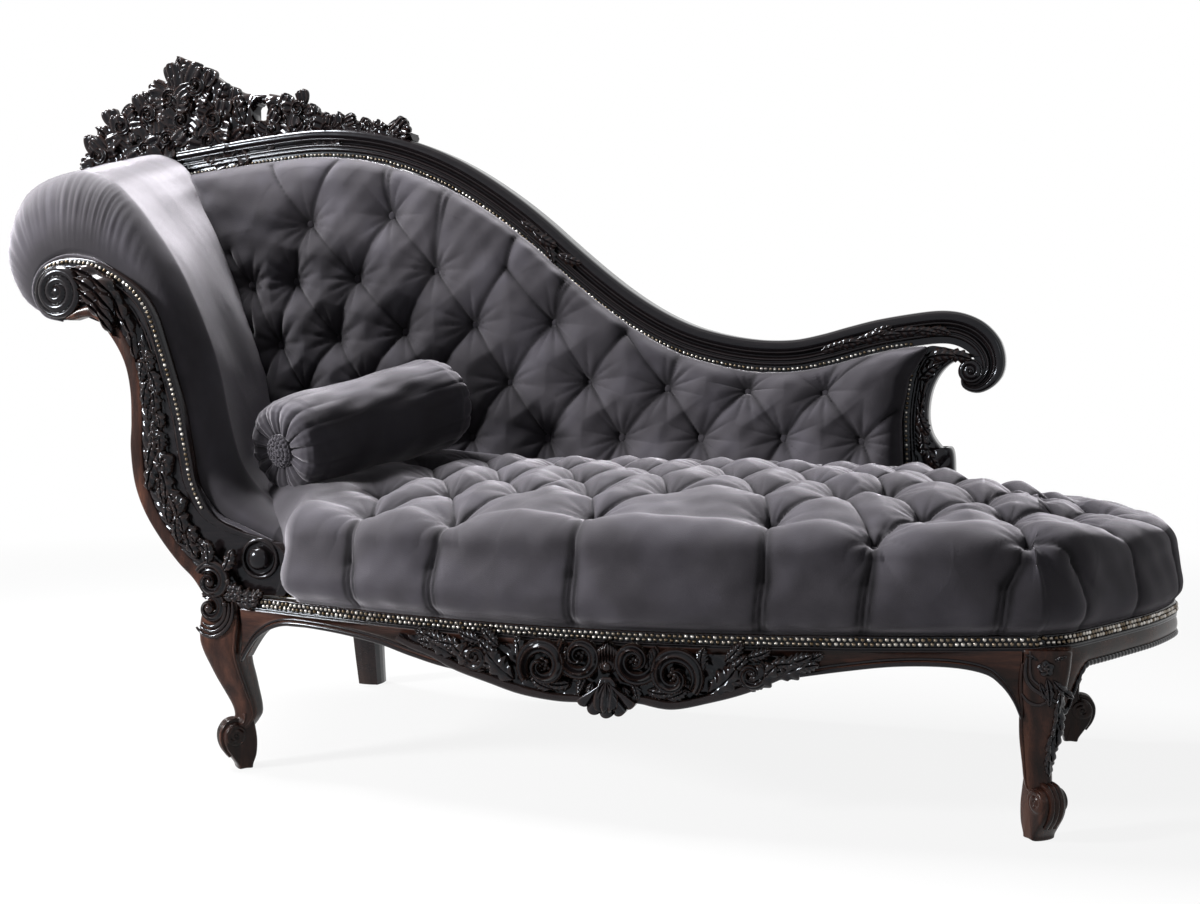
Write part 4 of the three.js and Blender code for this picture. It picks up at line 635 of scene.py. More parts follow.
def seat_shape():
    """The seat: rings from the foot of its wall up the wall, over a round shoulder and in to a spine line,
    risen as a crown. Height over the shoulder is 38 * sqrt(1 - (1 - d / 48)^2), and the crown is 57 * (1 -
    exp(-(depth - 48) / 150)). The buttoned sinking is taken off along the surface's normals, which turn
    upright towards the spine. Its chart is the plan, with the wall unfolded outwards."""
    outline, spine = seat_outline()
    n = len(outline)
    out = right_of(np.concatenate([outline[-3:], outline, outline[:3]]))[3:-3]
    out = unit(smoothed(np.concatenate([out[-6:], out, out[:6]]), np.ones(13) / 13))

    foot_share = smoothstep(outline[:, 0], 1120, 1240)
    wall_top = 352 - 8 * foot_share
    hidden_back = smoothstep(outline[:, 1], 380, 425) * smoothstep(1010 - outline[:, 0], 0, 60)
    wall_foot = np.where(outline[:, 0] < 1145, front_rail_top(np.clip(outline[:, 0], 12, 1145)), 262) + 0.4
    wall_foot = np.where(outline[:, 1] > 200, 262.6, wall_foot)

    wall = np.linspace(0, 1, 24)
    round_in, round_up = 48, 38
    bulge = 5 * smoothstep(wall, 0, 0.4) + 11 * np.sin(math.pi * wall**0.7) ** 2
    free = (1 - hidden_back) * (1 - 0.6 * foot_share)
    wall_grid = np.zeros((len(wall), n, 3))
    wall_grid[..., :2] = outline + out * (bulge[:, None] * free)[..., None]
    wall_grid[..., 2] = wall_foot + (wall_top - wall_foot) * wall[:, None]
    wall_chart = outline + out * (wall_top - wall_grid[..., 2])[..., None]

    inward = spine - outline
    reach = np.linalg.norm(inward, axis=1)
    edge_rows, far_rows = 14, 62
    distance = np.empty((edge_rows + far_rows, n))
    distance[:edge_rows] = (round_in * (1 - np.cos(np.linspace(0.12, math.pi / 2, edge_rows))))[:, None]
    share = np.linspace(0, 1, far_rows + 1)[1:]
    distance[edge_rows:] = round_in + (reach - round_in) * share[:, None]
    plan = outline + inward * (distance / reach)[..., None]
    shoulder = np.clip(1 - distance / round_in, 0, 1)
    top_grid = np.zeros((edge_rows + far_rows, n, 3))
    top_grid[..., :2] = plan + out * (5 * shoulder**2 * free)[..., None]
    depth = seat_depth(plan[..., 0], plan[..., 1])
    crown = 57 - 16 * smoothstep(plan[..., 0], 1040, 1290)
    crown = crown * (1 - np.exp(-np.maximum(depth - round_in, 0) / 150))
    rise = round_up * np.sqrt(np.clip(1 - shoulder**2, 0, 1))
    rise = rise * (1 - hidden_back) + round_up * hidden_back
    top_grid[..., 2] = wall_top + rise + crown

    points = np.concatenate([wall_grid, top_grid])
    chart = np.concatenate([wall_chart, plan])
    sink, crease = seat_tufts(chart)
    up_wall = np.concatenate([wall, np.ones(edge_rows + far_rows)])[:, None]
    sink *= 0.3 + 0.7 * smoothstep(up_wall, 0.0, 0.3)
    wander = ripple(points, 150, 11) * 2.2 + ripple(points, 46, 12) * 0.7
    normal = ring_normals(points)
    normal *= np.sign(normal[40, 300, 2])  # outwards, which is upwards on its top
    towards = np.concatenate([np.zeros(len(wall) + edge_rows), share])[:, None]
    upright = smoothstep(towards, 0.15, 0.5)[..., None]
    normal = unit(normal * (1 - upright) + np.array([0, 0, 1.0]) * upright)
    moved = points + normal * ((9.0 - 5 * foot_share + wander) * smoothstep(up_wall, 0, 0.25) - sink)[..., None]
    under = np.concatenate([outline - out * 10, wall_foot[:, None]], 1)[None]
    rings = np.concatenate([under, moved])
    marks = np.concatenate([crease[:1], crease])
    # painted shade along the foot of the seat's wall, where it tucks down to the rail
    marks[:3] = np.maximum(marks[:3], 0.5)

    # the last ring is the spine, where the two runs share their points
    rows, half = len(rings), n // 2
    ring_points = np.concatenate([rings[:-1].reshape(-1, 3), rings[-1, :half], rings[0].mean(0)[None]])
    last = (rows - 1) * n + np.concatenate([np.arange(half), np.arange(half)[::-1]])
    index = np.concatenate([np.arange((rows - 1) * n).reshape(rows - 1, n), last[None]])
    c = np.arange(n)
    nxt = (c + 1) % n
    quads = np.stack([index[:-1], index[:-1, nxt], index[1:, nxt], index[1:]], -1).reshape(-1, 4)
    pinched = quads[:, 2] == quads[:, 3]
    quads[pinched, 3] = -1
    base = np.stack([nxt, c, np.full(n, len(ring_points) - 1), np.full(n, -1)], 1)
    faces = turned_out(ring_points, np.concatenate([quads, base]))
    mark = np.concatenate([marks[:-1].ravel(), marks[-1, :half], [0.5]])
    return (ring_points, faces, {"crease": mark}), moved, chart, normal


seat_shape_made, seat_skin, seat_chart, seat_normal = seat_shape()


def buttons_on(rows, skin, chart, normal, proud):
    """Covered buttons on the cloth where its chart is nearest their places, facing along its normal."""
    made = []
    for x, y in (place for row in rows for place in row):
        i = np.unravel_index(np.argmin(np.hypot(chart[..., 0] - x, chart[..., 1] - y)), chart.shape[:2])
        made.append(button(skin[i] + normal[i] * proud, normal[i]))
    return together(*made)


seat_pad = piece("seat_upholstery", seat_shape_made, VELVET, ["seat_cushion"])
piece("seat_buttons", buttons_on(SEAT_ROWS[:5], seat_skin, seat_chart, seat_normal, 2.0), VELVET)

# The back rail's middle line, seen from the front, up to where it rolls over
RAIL_LINE = [
    (-386, 958), (-250, 974), (-149, 983), (-100, 985), (-50, 982), (0, 975), (50, 963), (99, 946), (145, 926),
    (190, 901), (239, 869), (289, 832), (328, 799), (360, 771), (407, 732), (450, 699), (504, 664), (550, 641),
    (590, 626), (658, 611), (720, 606), (757, 608), (800, 617), (838, 628), (918, 646), (976, 647),
]
rail_line = fair(RAIL_LINE, 320)
before, after = 2 * rail_line[0] - rail_line[9:0:-1], 2 * rail_line[-1] - rail_line[-2:-11:-1]
weights = np.hanning(21)[1:-1] / np.hanning(21).sum()
rail_line = smoothed(np.concatenate([before, rail_line, after]), weights)
rail_lower = rail_line + right_of(rail_line) * 26

# The seat side of the arm pad against the back, and the stile's inner edge, from the front
ARM_FOLD = np.array(
    [
        (-357, 925), (-341, 890), (-310, 830), (-270, 735), (-235, 641), (-208, 560), (-188, 480), (-165, 426),
        (-140, 394), (-111, 370), (-90, 300),
    ]
)
STILE_INNER = np.array([(965, 640), (960, 615), (933, 571.5), (922.5, 505), (925, 437), (925, 262)])

# Rows of buttons on the back, from its top, and the pleats that leave the diamond for its edges
BACK_ROWS = [
    [(-111, 842), (45, 853)],
    [(-223, 733), (-138, 742), (-17, 743), (131, 756)],
    [(-163, 629), (-52, 640), (75, 650), (204, 663), (345, 667)],
    [(-112, 545), (5, 552), (134, 560), (270, 565), (409, 567), (543, 557), (676, 557), (800, 553)],
    [(72, 466), (205, 470), (341, 472), (469, 474), (602, 475), (737, 477), (862, 474)],
]
BACK_EXTRA_PLEATS = [
    (-111, 842, -187, 945), (-111, 842, -60, 950), (45, 853, 32, 952), (45, 853, 46, 952), (131, 756, 148, 918),
    (131, 756, 162, 910), (345, 667, 380, 745), (345, 667, 368, 752), (204, 663, 262, 756), (345, 667, 262, 756),
    (262, 756, 280, 824), (543, 557, 566, 622), (409, 567, 470, 646), (543, 557, 470, 646), (470, 646, 480, 668),
    (676, 557, 696, 592), (800, 553, 820, 598), (800, 553, 872, 606), (-223, 733, -262, 790), (-223, 733, -212, 650),
    (-163, 629, -196, 560), (862, 474, 800, 553), (862, 474, 915, 520),
]


def uneven(stops, counts):
    """Values from the first stop to the last one, in as many even steps between stops as counted."""
    spans = [np.linspace(low, high, n, endpoint=False) for low, high, n in zip(stops[:-2], stops[1:-1], counts)]
    return np.concatenate([*spans, np.linspace(stops[-2], stops[-1], counts[-1])])


def back_shape():
    """The inside back: a grid that spreads between the arm's fold and the stile, and from behind the
    seat up to the back rail. It is 82 thick at the seat and 40 at the rail, rounds in at its edges as
    sqrt(1 - (1 - edge)^2), and its buttoned sinking is taken off along its normals."""
    u = uneven((0, 0.04, 0.97, 1), (20, 410, 22))[:, None]
    v = uneven((0, 0.88, 1), (156, 46))[None]
    bottom = 300.0
    top_x = -342 + (948 + 342) * u
    order = np.argsort(rail_lower[:, 0])
    top_z = np.interp(top_x, rail_lower[order, 0], rail_lower[order, 1]) - 0.6
    left = lambda z: np.interp(z, ARM_FOLD[::-1, 1], ARM_FOLD[::-1, 0])
    right = lambda z: np.interp(z, STILE_INNER[::-1, 1], STILE_INNER[::-1, 0]) - 1.5
    bottom_x = left(bottom) + (right(bottom) - left(bottom)) * u
    z = bottom + (top_z - bottom) * v
    x = bottom_x + (top_x - bottom_x) * v
    x += (left(z) - (left(bottom) + (-342 - left(bottom)) * v)) * (1 - u) ** 3
    x += (right(z) - (right(bottom) + (948 - right(bottom)) * v)) * u**6
    edge = np.clip(np.minimum((1 - v) * (top_z - bottom) / 46, np.minimum(u * 26, (1 - u) * 24)), 0, 1)
    drawn = np.sqrt(np.clip(1 - (1 - edge) ** 2, 0, 1))
    lean = 82 - 42 * v**1.1
    thick = 12 + (lean - 12) * (0.18 + 0.82 * drawn) + 5 * drawn * (1 - v)
    chart = np.stack([x, z], -1)
    face = on_front(chart, 518 - thick)
    pleats = lattice_pleats(BACK_ROWS, 17, 54, 96)
    pleats += [(a, b, c, d, 11, 34, 0.4) for a, b, c, d in BACK_EXTRA_PLEATS]
    pleats += [(a, b, a + 50 * s, b - 110, 13, 44, 0.4 * s) for a, b in BACK_ROWS[-1] for s in (-1, 1)]
    buttons = [b for row in BACK_ROWS for b in row]
    sink, crease = tufting(chart, buttons, pleats, 20, 32, seed=9, fade=38.0, between=0.4, fan=3.2)
    inside = smoothstep(edge, 0.0, 0.5)
    swell = 9 + ripple(face, 120, 21) * 2.0 + ripple(face, 40, 22) * 0.6
    normal = normals_of(face)
    normal *= -np.sign(normal[200, 75, 1])  # towards the front
    skin = face + normal * ((swell - sink) * (0.15 + 0.85 * inside))[..., None]
    skin[..., 1] = np.minimum(skin[..., 1], 508)
    # painted shade round the back's edges, where it tucks in against the rail, the arm and the stile
    crease = np.maximum(crease, 0.6 * (1 - smoothstep(edge, 0, 0.16)))
    return slab(skin, on_front(chart, 517.0), crease=crease), skin, chart, normal


back_made, back_skin, back_chart, back_normal = back_shape()
back_pad = piece("inside_back_upholstery", back_made, VELVET, ["back_cushion"])
piece("back_buttons", buttons_on(BACK_ROWS, back_skin, back_chart, back_normal, 3.5), VELVET)

# Matching points of the facing's edge, the arm pad's outline just behind it, the pad's outline at the
# back, and the pad's inner side at the front and at the back
FACING_EDGE = [
    (-262, 662), (-293, 671), (-310, 703), (-297, 734), (-262, 751), (-226, 750), (-190, 738), (-150, 709),
    (-113, 660), (-88, 605), (-70, 540), (-57, 478), (-41, 420), (-9, 376), (35, 356), (82, 337),
]
PAD_FRONT = [
    (-262, 655.5), (-341, 689), (-374, 768), (-341, 847.5), (-262, 880), (-206, 865), (-169, 835), (-130, 790),
    (-85, 728), (-48.5, 655.5), (-21, 579.6), (-6, 509.5), (11.6, 449.7), (39, 411.7), (72, 387.6), (107, 368),
]
PAD_BACK = [
    (-456, 720), (-547, 758), (-586, 850), (-547, 942), (-456, 980), (-390, 962.6), (-357, 924.6), (-341, 890),
    (-310, 830), (-270, 735), (-235, 640.6), (-207.6, 560), (-188, 479.6), (-165, 425.5), (-140, 394.5),
    (-111, 370.3),
]
CORE_FRONT = [
    (-262, 722), (-293, 735), (-306, 766), (-293, 797), (-262, 808), (-240, 804), (-219, 785), (-182, 742),
    (-138, 700), (-105, 645), (-83, 590), (-68, 520), (-52, 455), (-35, 412), (2, 370), (105, 325),
]
CORE_BACK = [
    (-456, 800), (-491, 815), (-504, 850), (-491, 885), (-456, 900), (-431, 894), (-415, 880), (-398, 850),
    (-367, 800), (-326, 715), (-293, 624), (-264, 545), (-242, 470), (-219, 405), (-180, 362), (-112, 325),
]


def arm_shape():
    """The arm pad: outlines round the roll and down its seat side, which change from the front one to the
    back one along the arm. Its front end turns in by a quarter ellipse to the facing's edge, where the
    velvet is gathered in small folds that die out over 40 mm."""
    count = 230
    facing, front, back, core_front, core_back = (
        fair(p, count, even_steps=False) for p in (FACING_EDGE, PAD_FRONT, PAD_BACK, CORE_FRONT, CORE_BACK)
    )
    turn = np.linspace(0, math.pi / 2, 22)[:, None]
    # the turned-in end lies between ahead and behind, and the straight outlines between start and rear
    ahead, behind, start, rear = -4.0, 62.0, 11, 517.5
    t_front = (behind - start) / 507
    first = front + (back - front) * t_front
    y_front = behind - (behind - ahead) * np.cos(turn)
    lip = facing + (first - facing) * (np.sin(turn) ** 0.85)[..., None]
    share = np.linspace(t_front, 1, 74)[1:, None]
    y_long = start + 507 * share
    skin = np.concatenate([on_front(lip, y_front), on_front(front + (back - front) * share[..., None], y_long)])
    skin[-1, :, 1] = rear
    normal = normals_of(skin)
    normal *= np.sign(normal[40, 70, 2])  # outwards, which is upwards on the roll
    s = np.linspace(0, 1, count)[None]
    length = run_of(first)[None]
    depth = skin[..., 1]
    roll = np.exp(-(((s - 0.26) / 0.2) ** 4))
    phase = length / 13.5 + 1.1 * np.sin(length / 61) + 0.6 * np.sin(length / 23)
    gathers = np.sin(2 * math.pi * phase) + 0.45 * np.sin(math.pi * phase + 1)
    fade = np.exp(-np.clip(depth - ahead, 0, None) / (11 + 15 * roll)) * smoothstep(depth, ahead - 1, 8)
    ripples = gathers * fade * (0.3 + 1.2 * roll) * (1 - 0.75 * smoothstep(s, 0.5, 0.62))
    swell = ripple(skin, 190, 31) * 0.9 + ripple(skin, 60, 32) * 0.12
    ends = smoothstep(s, 0, 0.02) * smoothstep(1 - s, 0, 0.02)
    back_end = 1 - 0.75 * smoothstep(depth, 470, 517)
    skin = skin + normal * ((ripples + swell) * ends * back_end)[..., None]
    skin[..., 1] = np.clip(skin[..., 1], ahead, rear)
    y = np.concatenate([y_front, y_long])
    inner = core_front + (core_back - core_front) * np.clip((y - start) / 507, 0, 1)[..., None]
    # painted shade in the hollows of the gathers, and along the lip where the cloth turns in to the facing
    crease = np.clip(-gathers * fade * (0.1 + 0.4 * roll), 0, 0.6)
    crease = np.maximum(crease, 0.5 * smoothstep(-skin[..., 1], -2, 4))
    return slab(skin, on_front(inner, np.maximum(y, 12.0)), crease=crease)


arm_pad = piece("arm_upholstery", arm_shape(), VELVET, ["arm_cushion"])

# A piped welt covers the seam between the facing and the arm pad
welt_line = fair(FACING_EDGE, 260)
welt_line = welt_line - right_of(welt_line) * 2.0
piece("arm_welt", tube(on_front(welt_line, -8.0), 3.2, 10), VELVET)


# The bolster's axis, from its front end to its back end
BOLSTER_FRONT = np.array([59.0, 72.0, 467.0])
BOLSTER_BACK = np.array([180.0, 378.0, 531.0])


def bolster_shapes():
    """The bolster: a round profile spun about its axis, full in the middle, whose ends turn in to a
    button. The ends are gathered: 15 deep folds and finer ones between them, whose depth grows as
    sin(pi * share)^0.7 from the rim in to the button."""
    axis = BOLSTER_BACK - BOLSTER_FRONT
    long = np.linalg.norm(axis)
    axis = axis / long
    first = np.cross(axis, [0, 0, 1.0])
    first /= np.linalg.norm(first)
    second = np.cross(axis, first)
    turn = full_turn(300)
    # an end's radius and height at shares of the way out from its button
    ends = 46
    share = [0, 0.12, 0.3, 0.5, 0.66, 0.8, 0.92, 1.0]
    radius_and_height = np.array(
        [(6, -9), (13, -2), (30, 6.5), (49, 9.5), (60, 7.5), (68, 1), (72.5, -12), (74.5, -30)]
    )
    end = fair(columns_at(np.linspace(0, 1, 42)[::3], share, radius_and_height), ends)
    front = np.stack([end[:, 0], -long / 2 - end[:, 1]], 1)
    back = np.stack([end[::-1, 0], long / 2 + end[::-1, 1]], 1)
    along = np.linspace(0, 1, 60)[1:-1]
    side = np.stack([74.5 + 1.5 * np.sin(math.pi * along), front[-1, 1] + (back[0, 1] - front[-1, 1]) * along], 1)
    profile = np.concatenate([front, side, back])
    gather = np.zeros(len(profile))
    gather[:ends] = np.sin(math.pi * np.linspace(0.04, 1, ends)) ** 0.7 * np.linspace(1, 0.25, ends)
    gather[-ends:] = gather[:ends][::-1]
    tail = np.exp(-np.arange(len(side)) / 9)
    gather[ends:-ends] += 0.16 * tail + 0.16 * tail[::-1]
    phase = turn[None] + 0.12 * np.sin(2 * turn + 1)[None]
    deep = np.abs(np.sin(6.5 * phase + 0.3)) ** 0.55 - 0.6
    fine = 0.35 * np.sin(31 * turn + 2)[None] + 0.25 * np.sin(22 * turn)[None]
    fold = gather[:, None] * (9.5 * deep + 2.4 * fine)
    ring = np.cos(turn)[:, None] * first + np.sin(turn)[:, None] * second
    middle = (BOLSTER_FRONT + BOLSTER_BACK) / 2
    rings = profile[:, :1, None] * ring[None] + profile[:, 1:2, None] * axis[None, None] + middle
    normal = ring_normals(rings)
    normal *= np.sign(normal[70, 0] @ ring[0])  # away from the axis
    body = np.ones(len(profile))
    body[:ends] = np.linspace(0, 1, ends) ** 2
    body[-ends:] = body[:ends][::-1]
    slack = (ripple(rings, 90, 41) * 1.8 + ripple(rings * [1, 0.5, 1], 30, 42) * 0.6) * body[:, None]
    # it lies a little flattened where it rests on the seat
    down = np.clip(-(rings[..., 2] - middle[2]) / 75, 0, 1)
    rings = rings + normal * (fold + slack)[..., None]
    rings[..., 2] += 3.0 * down**3
    # painted shade in the hollows of the gathered folds
    crease = np.clip(-deep * gather[:, None] * 1.1, 0, 0.7)
    shapes = [closed(rings, crease=crease)]
    for place, way in ((BOLSTER_FRONT, -axis), (BOLSTER_BACK, axis)):
        shapes.append(ruffle(place + way * 9.5, way, first, second))
    return shapes


def ruffle(place, way, first, second):
    """A gathered rosette: a low dome of small puffs in rings of 1, 6, 12 and 18, each puff a cap of height
    sqrt(1 - (distance / its radius)^2)."""
    share = np.linspace(1, 0.01, 44)[:, None]
    turn = full_turn(150)[None]
    radius, step = 25.0, 6.6
    r = radius * share
    ring_of = np.round(r / step)
    count = np.maximum(6 * ring_of, 1)
    cell = (turn + 0.4 * ring_of) * count / (2 * math.pi)
    aside = np.where(ring_of > 0, (cell - np.round(cell)) * 2 * math.pi / count * r, 0)
    off = np.hypot(r - ring_of * step, aside) / (0.56 * step)
    puff = np.sqrt(np.clip(1 - off**2, 0, 1))
    height = 6.5 * np.sqrt(np.clip(1 - share**2, 0, 1)) + 3.4 * puff - 2.0
    rings = (
        (r * np.cos(turn))[..., None] * first + (r * np.sin(turn))[..., None] * second + height[..., None] * way
    )
    foot = rings[0] - way * 9
    rings = np.concatenate([foot[None], rings]) + place
    # painted shade between the puffs
    crease = np.clip(0.75 - 1.1 * puff, 0, 0.75)
    return closed(rings, crease=np.concatenate([crease[:1], crease]))


bolster_made, front_ruffle, back_ruffle = bolster_shapes()
bolster = piece("bolster_cover", bolster_made, VELVET, ["bolster_pillow"], body="bolster")
piece("bolster_front_ruffle", front_ruffle, VELVET, ["bolster_front_rosette"], body="bolster")
piece("bolster_back_ruffle", back_ruffle, VELVET, ["bolster_back_rosette"], body="bolster")


# The arm's outside edge seen from the front, and the same line at the back
ARM_OUTSIDE_FRONT = [
    (-42.7, 278.3), (-83.4, 312.8), (-124.2, 364.6), (-149.4, 437), (-147.4, 496.8), (-145.5, 571.6), (-163, 615.3),
    (-186.2, 645.2), (-230.9, 663.6),
]
ARM_OUTSIDE_BACK = [
    (-91.2, 278.3), (-135.8, 312.8), (-200, 364.6), (-254.1, 437), (-275.5, 496.8), (-300.7, 571.6), (-335.6, 640.6),
    (-374.4, 690), (-419, 709.6),
]


def outside_arm():
    """The arm's outside cloth, 2.2 mm thick: straight lines from the facing's lower edge back to the
    rear support's, stretched a little hollow."""
    front, back = fair(ARM_OUTSIDE_FRONT, 90), fair(ARM_OUTSIDE_BACK, 90)
    share = np.linspace(0, 1, 60)[:, None]
    outer = on_front(front + (back - front) * share[..., None], 10.5 + 507.0 * share)
    normal = normals_of(outer)
    normal *= np.sign(-normal[30, 40, 0])  # outwards, to the left
    hollow = (ripple(outer, 140, 51) * 0.9 - 1.2) * np.sin(math.pi * share)
    outer = outer + normal * hollow[..., None]
    return slab(outer, outer - normal * 2.2)


def outside_back():
    """The outside back: one flat panel from the arm to the stile, up to the back rail's lower edge."""
    u, v = np.linspace(0, 1, 100)[:, None], np.linspace(0, 1, 50)[None]
    left_line = np.array(
        [(-120, 240), (-120, 301), (-186, 364), (-240, 437), (-262, 497), (-287, 572), (-322, 640), (-365, 704)]
    )
    top_x = -336 + (980 + 336) * u
    order = np.argsort(rail_lower[:, 0])
    top_z = np.interp(top_x, rail_lower[order, 0], rail_lower[order, 1]) - 1
    bottom_x = -66 + (980 + 66) * u
    z = 229 + (top_z - 229) * v
    x = bottom_x + (top_x - bottom_x) * v
    shift = np.interp(z, left_line[:, 1], left_line[:, 0]) - (-66 + (-336 + 66) * v)
    x = x + np.where(u < 1, shift * (1 - u) ** 8, 0)
    x = x + (np.interp(z, [442, 485, 515, 548, 600], [992, 960, 957, 962, 986]) - 980) * u**12
    outer = np.stack([x, 554.3 + 0.35 * ripple(np.stack([x, z], -1), 160, 61), z], -1)
    return slab(outer, outer - [0, 1.9, 0])


piece("outside_arm_cloth", outside_arm(), VELVET, ["outside_arm_cover"])
piece("outside_back_cloth", outside_back(), VELVET, ["outside_back_cover"])


# Carved work --------------------
# Each ornament is a relief on its own unit length: across u, up v and out h, with a flat back.


def relief(u, v, h):
    """A relief and its flat back as two grids."""
    front = np.stack(np.broadcast_arrays(u, v, h), -1)
    back = front.copy()
    back[..., 2] = -0.06
    return front, back


def bent(angle):
    """A middle line of length one that heads along each of the angles in turn."""
    step = 1.0 / (len(angle) - 1)
    return np.cumsum(np.cos(angle), 0) * step, np.cumsum(np.sin(angle), 0) * step


def leaf(lobes, bend, curl, wide, rows, columns):
    """An acanthus leaf: half width wide * sin(pi * s^0.75)^0.65 with lobes as a cosine along it, a round
    section with a groove down the middle, ribs that run out and forwards, and a tip that curls up."""
    s = np.linspace(0.0, 1.0, rows)[:, None]
    t = np.linspace(-1, 1, columns)[None]
    lobe = np.cos(2 * math.pi * (lobes * s - 0.25))
    half = wide * np.sin(math.pi * s**0.75 * 0.985 + 0.015) ** 0.65
    half = half * (1 + 0.2 * lobe * smoothstep(s, 0.05, 0.3))
    angle = bend * s
    mid_u, mid_v = bent(angle)
    forward = 0.1 * np.abs(t) * half / wide
    u = mid_u - t * half * np.sin(angle) + forward * np.cos(angle)
    v = mid_v + t * half * np.cos(angle) + forward * np.sin(angle)
    body = (1 - 0.75 * np.abs(t) ** 2.4) * (0.55 + 0.45 * np.sin(math.pi * s))
    ribs = 0.30 * np.cos(2 * math.pi * (lobes * (s - 0.12 * np.abs(t)) - 0.25)) * np.abs(t) ** 0.7
    groove = -0.45 * np.exp(-((t / 0.13) ** 2))
    h = 0.17 * (body + ribs * smoothstep(s, 0.0, 0.2) + groove + curl * 1.2 * s**3)
    return relief(u, v, h)


def scroll(turns, hand, thick):
    """A scroll that rolls up: a round-backed band along a spiral whose radius falls as (1 - s)^0.9, grooved
    along its middle and highest near the eye."""
    s = np.linspace(0, 1, 54)[:, None]
    t = np.linspace(-1, 1, 9)[None]
    turn = 2 * math.pi * turns * s
    radius = 0.14 + 0.78 * (1 - s) ** 0.9
    half = thick * (0.22 + 0.78 * np.sin(math.pi * np.clip(s * 0.9 + 0.1, 0, 1)) ** 0.6) * (0.35 + 0.65 * radius)
    reach = radius + t * half
    back = 0.75 * np.sqrt(np.clip(1 - t**2, 0, 1)) * (0.5 + 0.5 * s)
    h = thick * (back + 0.14 * np.cos(2 * math.pi * t) + 0.35 * s)
    return relief(reach * np.cos(turn), hand * reach * np.sin(turn), h)


def rose(petals, swirl):
    """A rose: a dome of height sqrt(1 - r^2) with petals as a sine of petals * turn + swirl * r, hollow
    at its heart."""
    r = np.linspace(1.0, 0.02, 13)[:, None]
    turn = full_turn(40)[None]
    edge = 1 + 0.1 * np.cos(petals * turn + swirl)
    wave = 0.13 * np.sin(petals * turn + swirl * r) * np.sin(math.pi * r)
    h = 0.5 * np.sqrt(np.clip(1 - r**2, 0, 1)) + wave - 0.16 * np.exp(-((r / 0.2) ** 2))
    rings = np.stack(np.broadcast_arrays(r * edge * np.cos(turn), r * edge * np.sin(turn), h), -1)
    foot = rings[0].copy()
    foot[:, 2] = -0.2
    return np.concatenate([foot[None], rings])


def shell(flutes, spread):
    """A fan of flutes from one root: ridges as |cos(pi / 4 * flutes * turn / spread)|^0.7 that rise and
    widen outwards, with a scalloped edge."""
    turn = np.linspace(-spread, spread, 55)[:, None]
    r = np.linspace(0.08, 1, 18)[None]
    ridge = np.abs(np.cos(flutes * math.pi / (2 * spread) * turn * 0.5)) ** 0.7
    reach = r * (1 + 0.09 * ridge * r)
    h = 0.1 + 0.2 * ridge * np.sqrt(r) * (1.15 - 0.6 * r) + 0.05 * (1 - r)
    return relief(reach * np.sin(turn), reach * np.cos(turn), h)


def laid(ornament, place, turn, size, seat, hand=1, lift=0.0, rise=1.0):
    """An ornament turned and sized on a front face: its out direction is towards the viewer, from the
    depth that seat(x, z) gives."""
    c, s = math.cos(turn), math.sin(turn)

    def stood(grid):
        """Its points (u, v, w) turned in the plane of the face, and taken forwards by w."""
        u, v = grid[..., 0] * size, grid[..., 1] * size * hand
        x = place[0] + c * u - s * v
        z = place[1] + s * u + c * v
        return np.stack([x, seat(x, z) - lift - grid[..., 2] * size * rise, z], -1)

    if isinstance(ornament, tuple):
        front, back = ornament
        return slab(stood(front), stood(back))
    return closed(stood(ornament))


def strewn(rows, ornament, seat, **how):
    """Ornaments on a face, one for each row of (x, z, heading, size, bend)."""
    return [laid(ornament(bend), (x, z), way, size, seat, **how) for x, z, way, size, bend in rows]


def berry(place, radius, seat, lift):
    """A carved berry: most of a small ball on the face."""
    turn = np.linspace(-0.7, math.pi / 2 * 0.98, 6)
    profile = np.stack([radius * np.cos(turn), radius * np.sin(turn)], 1)
    x, z = place
    return spun(profile, (x, seat(x, z) - lift, z), (0, -1, 0), 10)


def curl_disc(place, axis, radius, height, turns, start, hand, drop, rows=46, columns=96):
    """A volute: a disc domed towards its axis, on which a reed winds in: its height goes as
    |cos(pi * (turns * r + turn / 2 pi))|^0.8, and the eye is a ball."""
    axis = np.asarray(axis, float) / np.linalg.norm(axis)
    first = np.cross([0, 0, 1.0], axis)
    first /= np.linalg.norm(first)
    second = np.cross(axis, first)
    r = np.linspace(1, 0.01, rows)[:, None]
    turn = full_turn(columns)[None]
    reed = np.abs(np.cos(math.pi * (turns * r + hand * (turn + start) / (2 * math.pi)))) ** 0.8
    eye = np.sqrt(np.clip(1 - (r / 0.2) ** 2, 0, 1))
    dome = height * (0.45 + 0.55 * np.sqrt(np.clip(1 - r**4, 0, 1)))
    out = dome * (0.62 + 0.38 * reed * (r > 0.2)) + 0.35 * height * eye * (r <= 0.2) + 0.1 * height * (1 - r)
    around, aside = r * radius * np.cos(turn), r * radius * np.sin(turn)
    rings = around[..., None] * first + aside[..., None] * second + out[..., None] * axis
    foot = rings[0] - axis * (drop + out[0][:, None])
    return closed(np.concatenate([foot[None], rings]) + np.asarray(place, float))


def flat_at(y):
    """The depth of a face that is flat."""
    return lambda x, z: y + 0 * x


def half_round(x, middle, radius):
    """A bead's height over x: a half circle."""
    return radius * np.sqrt(np.clip(1 - ((x - middle) / radius) ** 2, 0, 1))


# Back rail --------------------


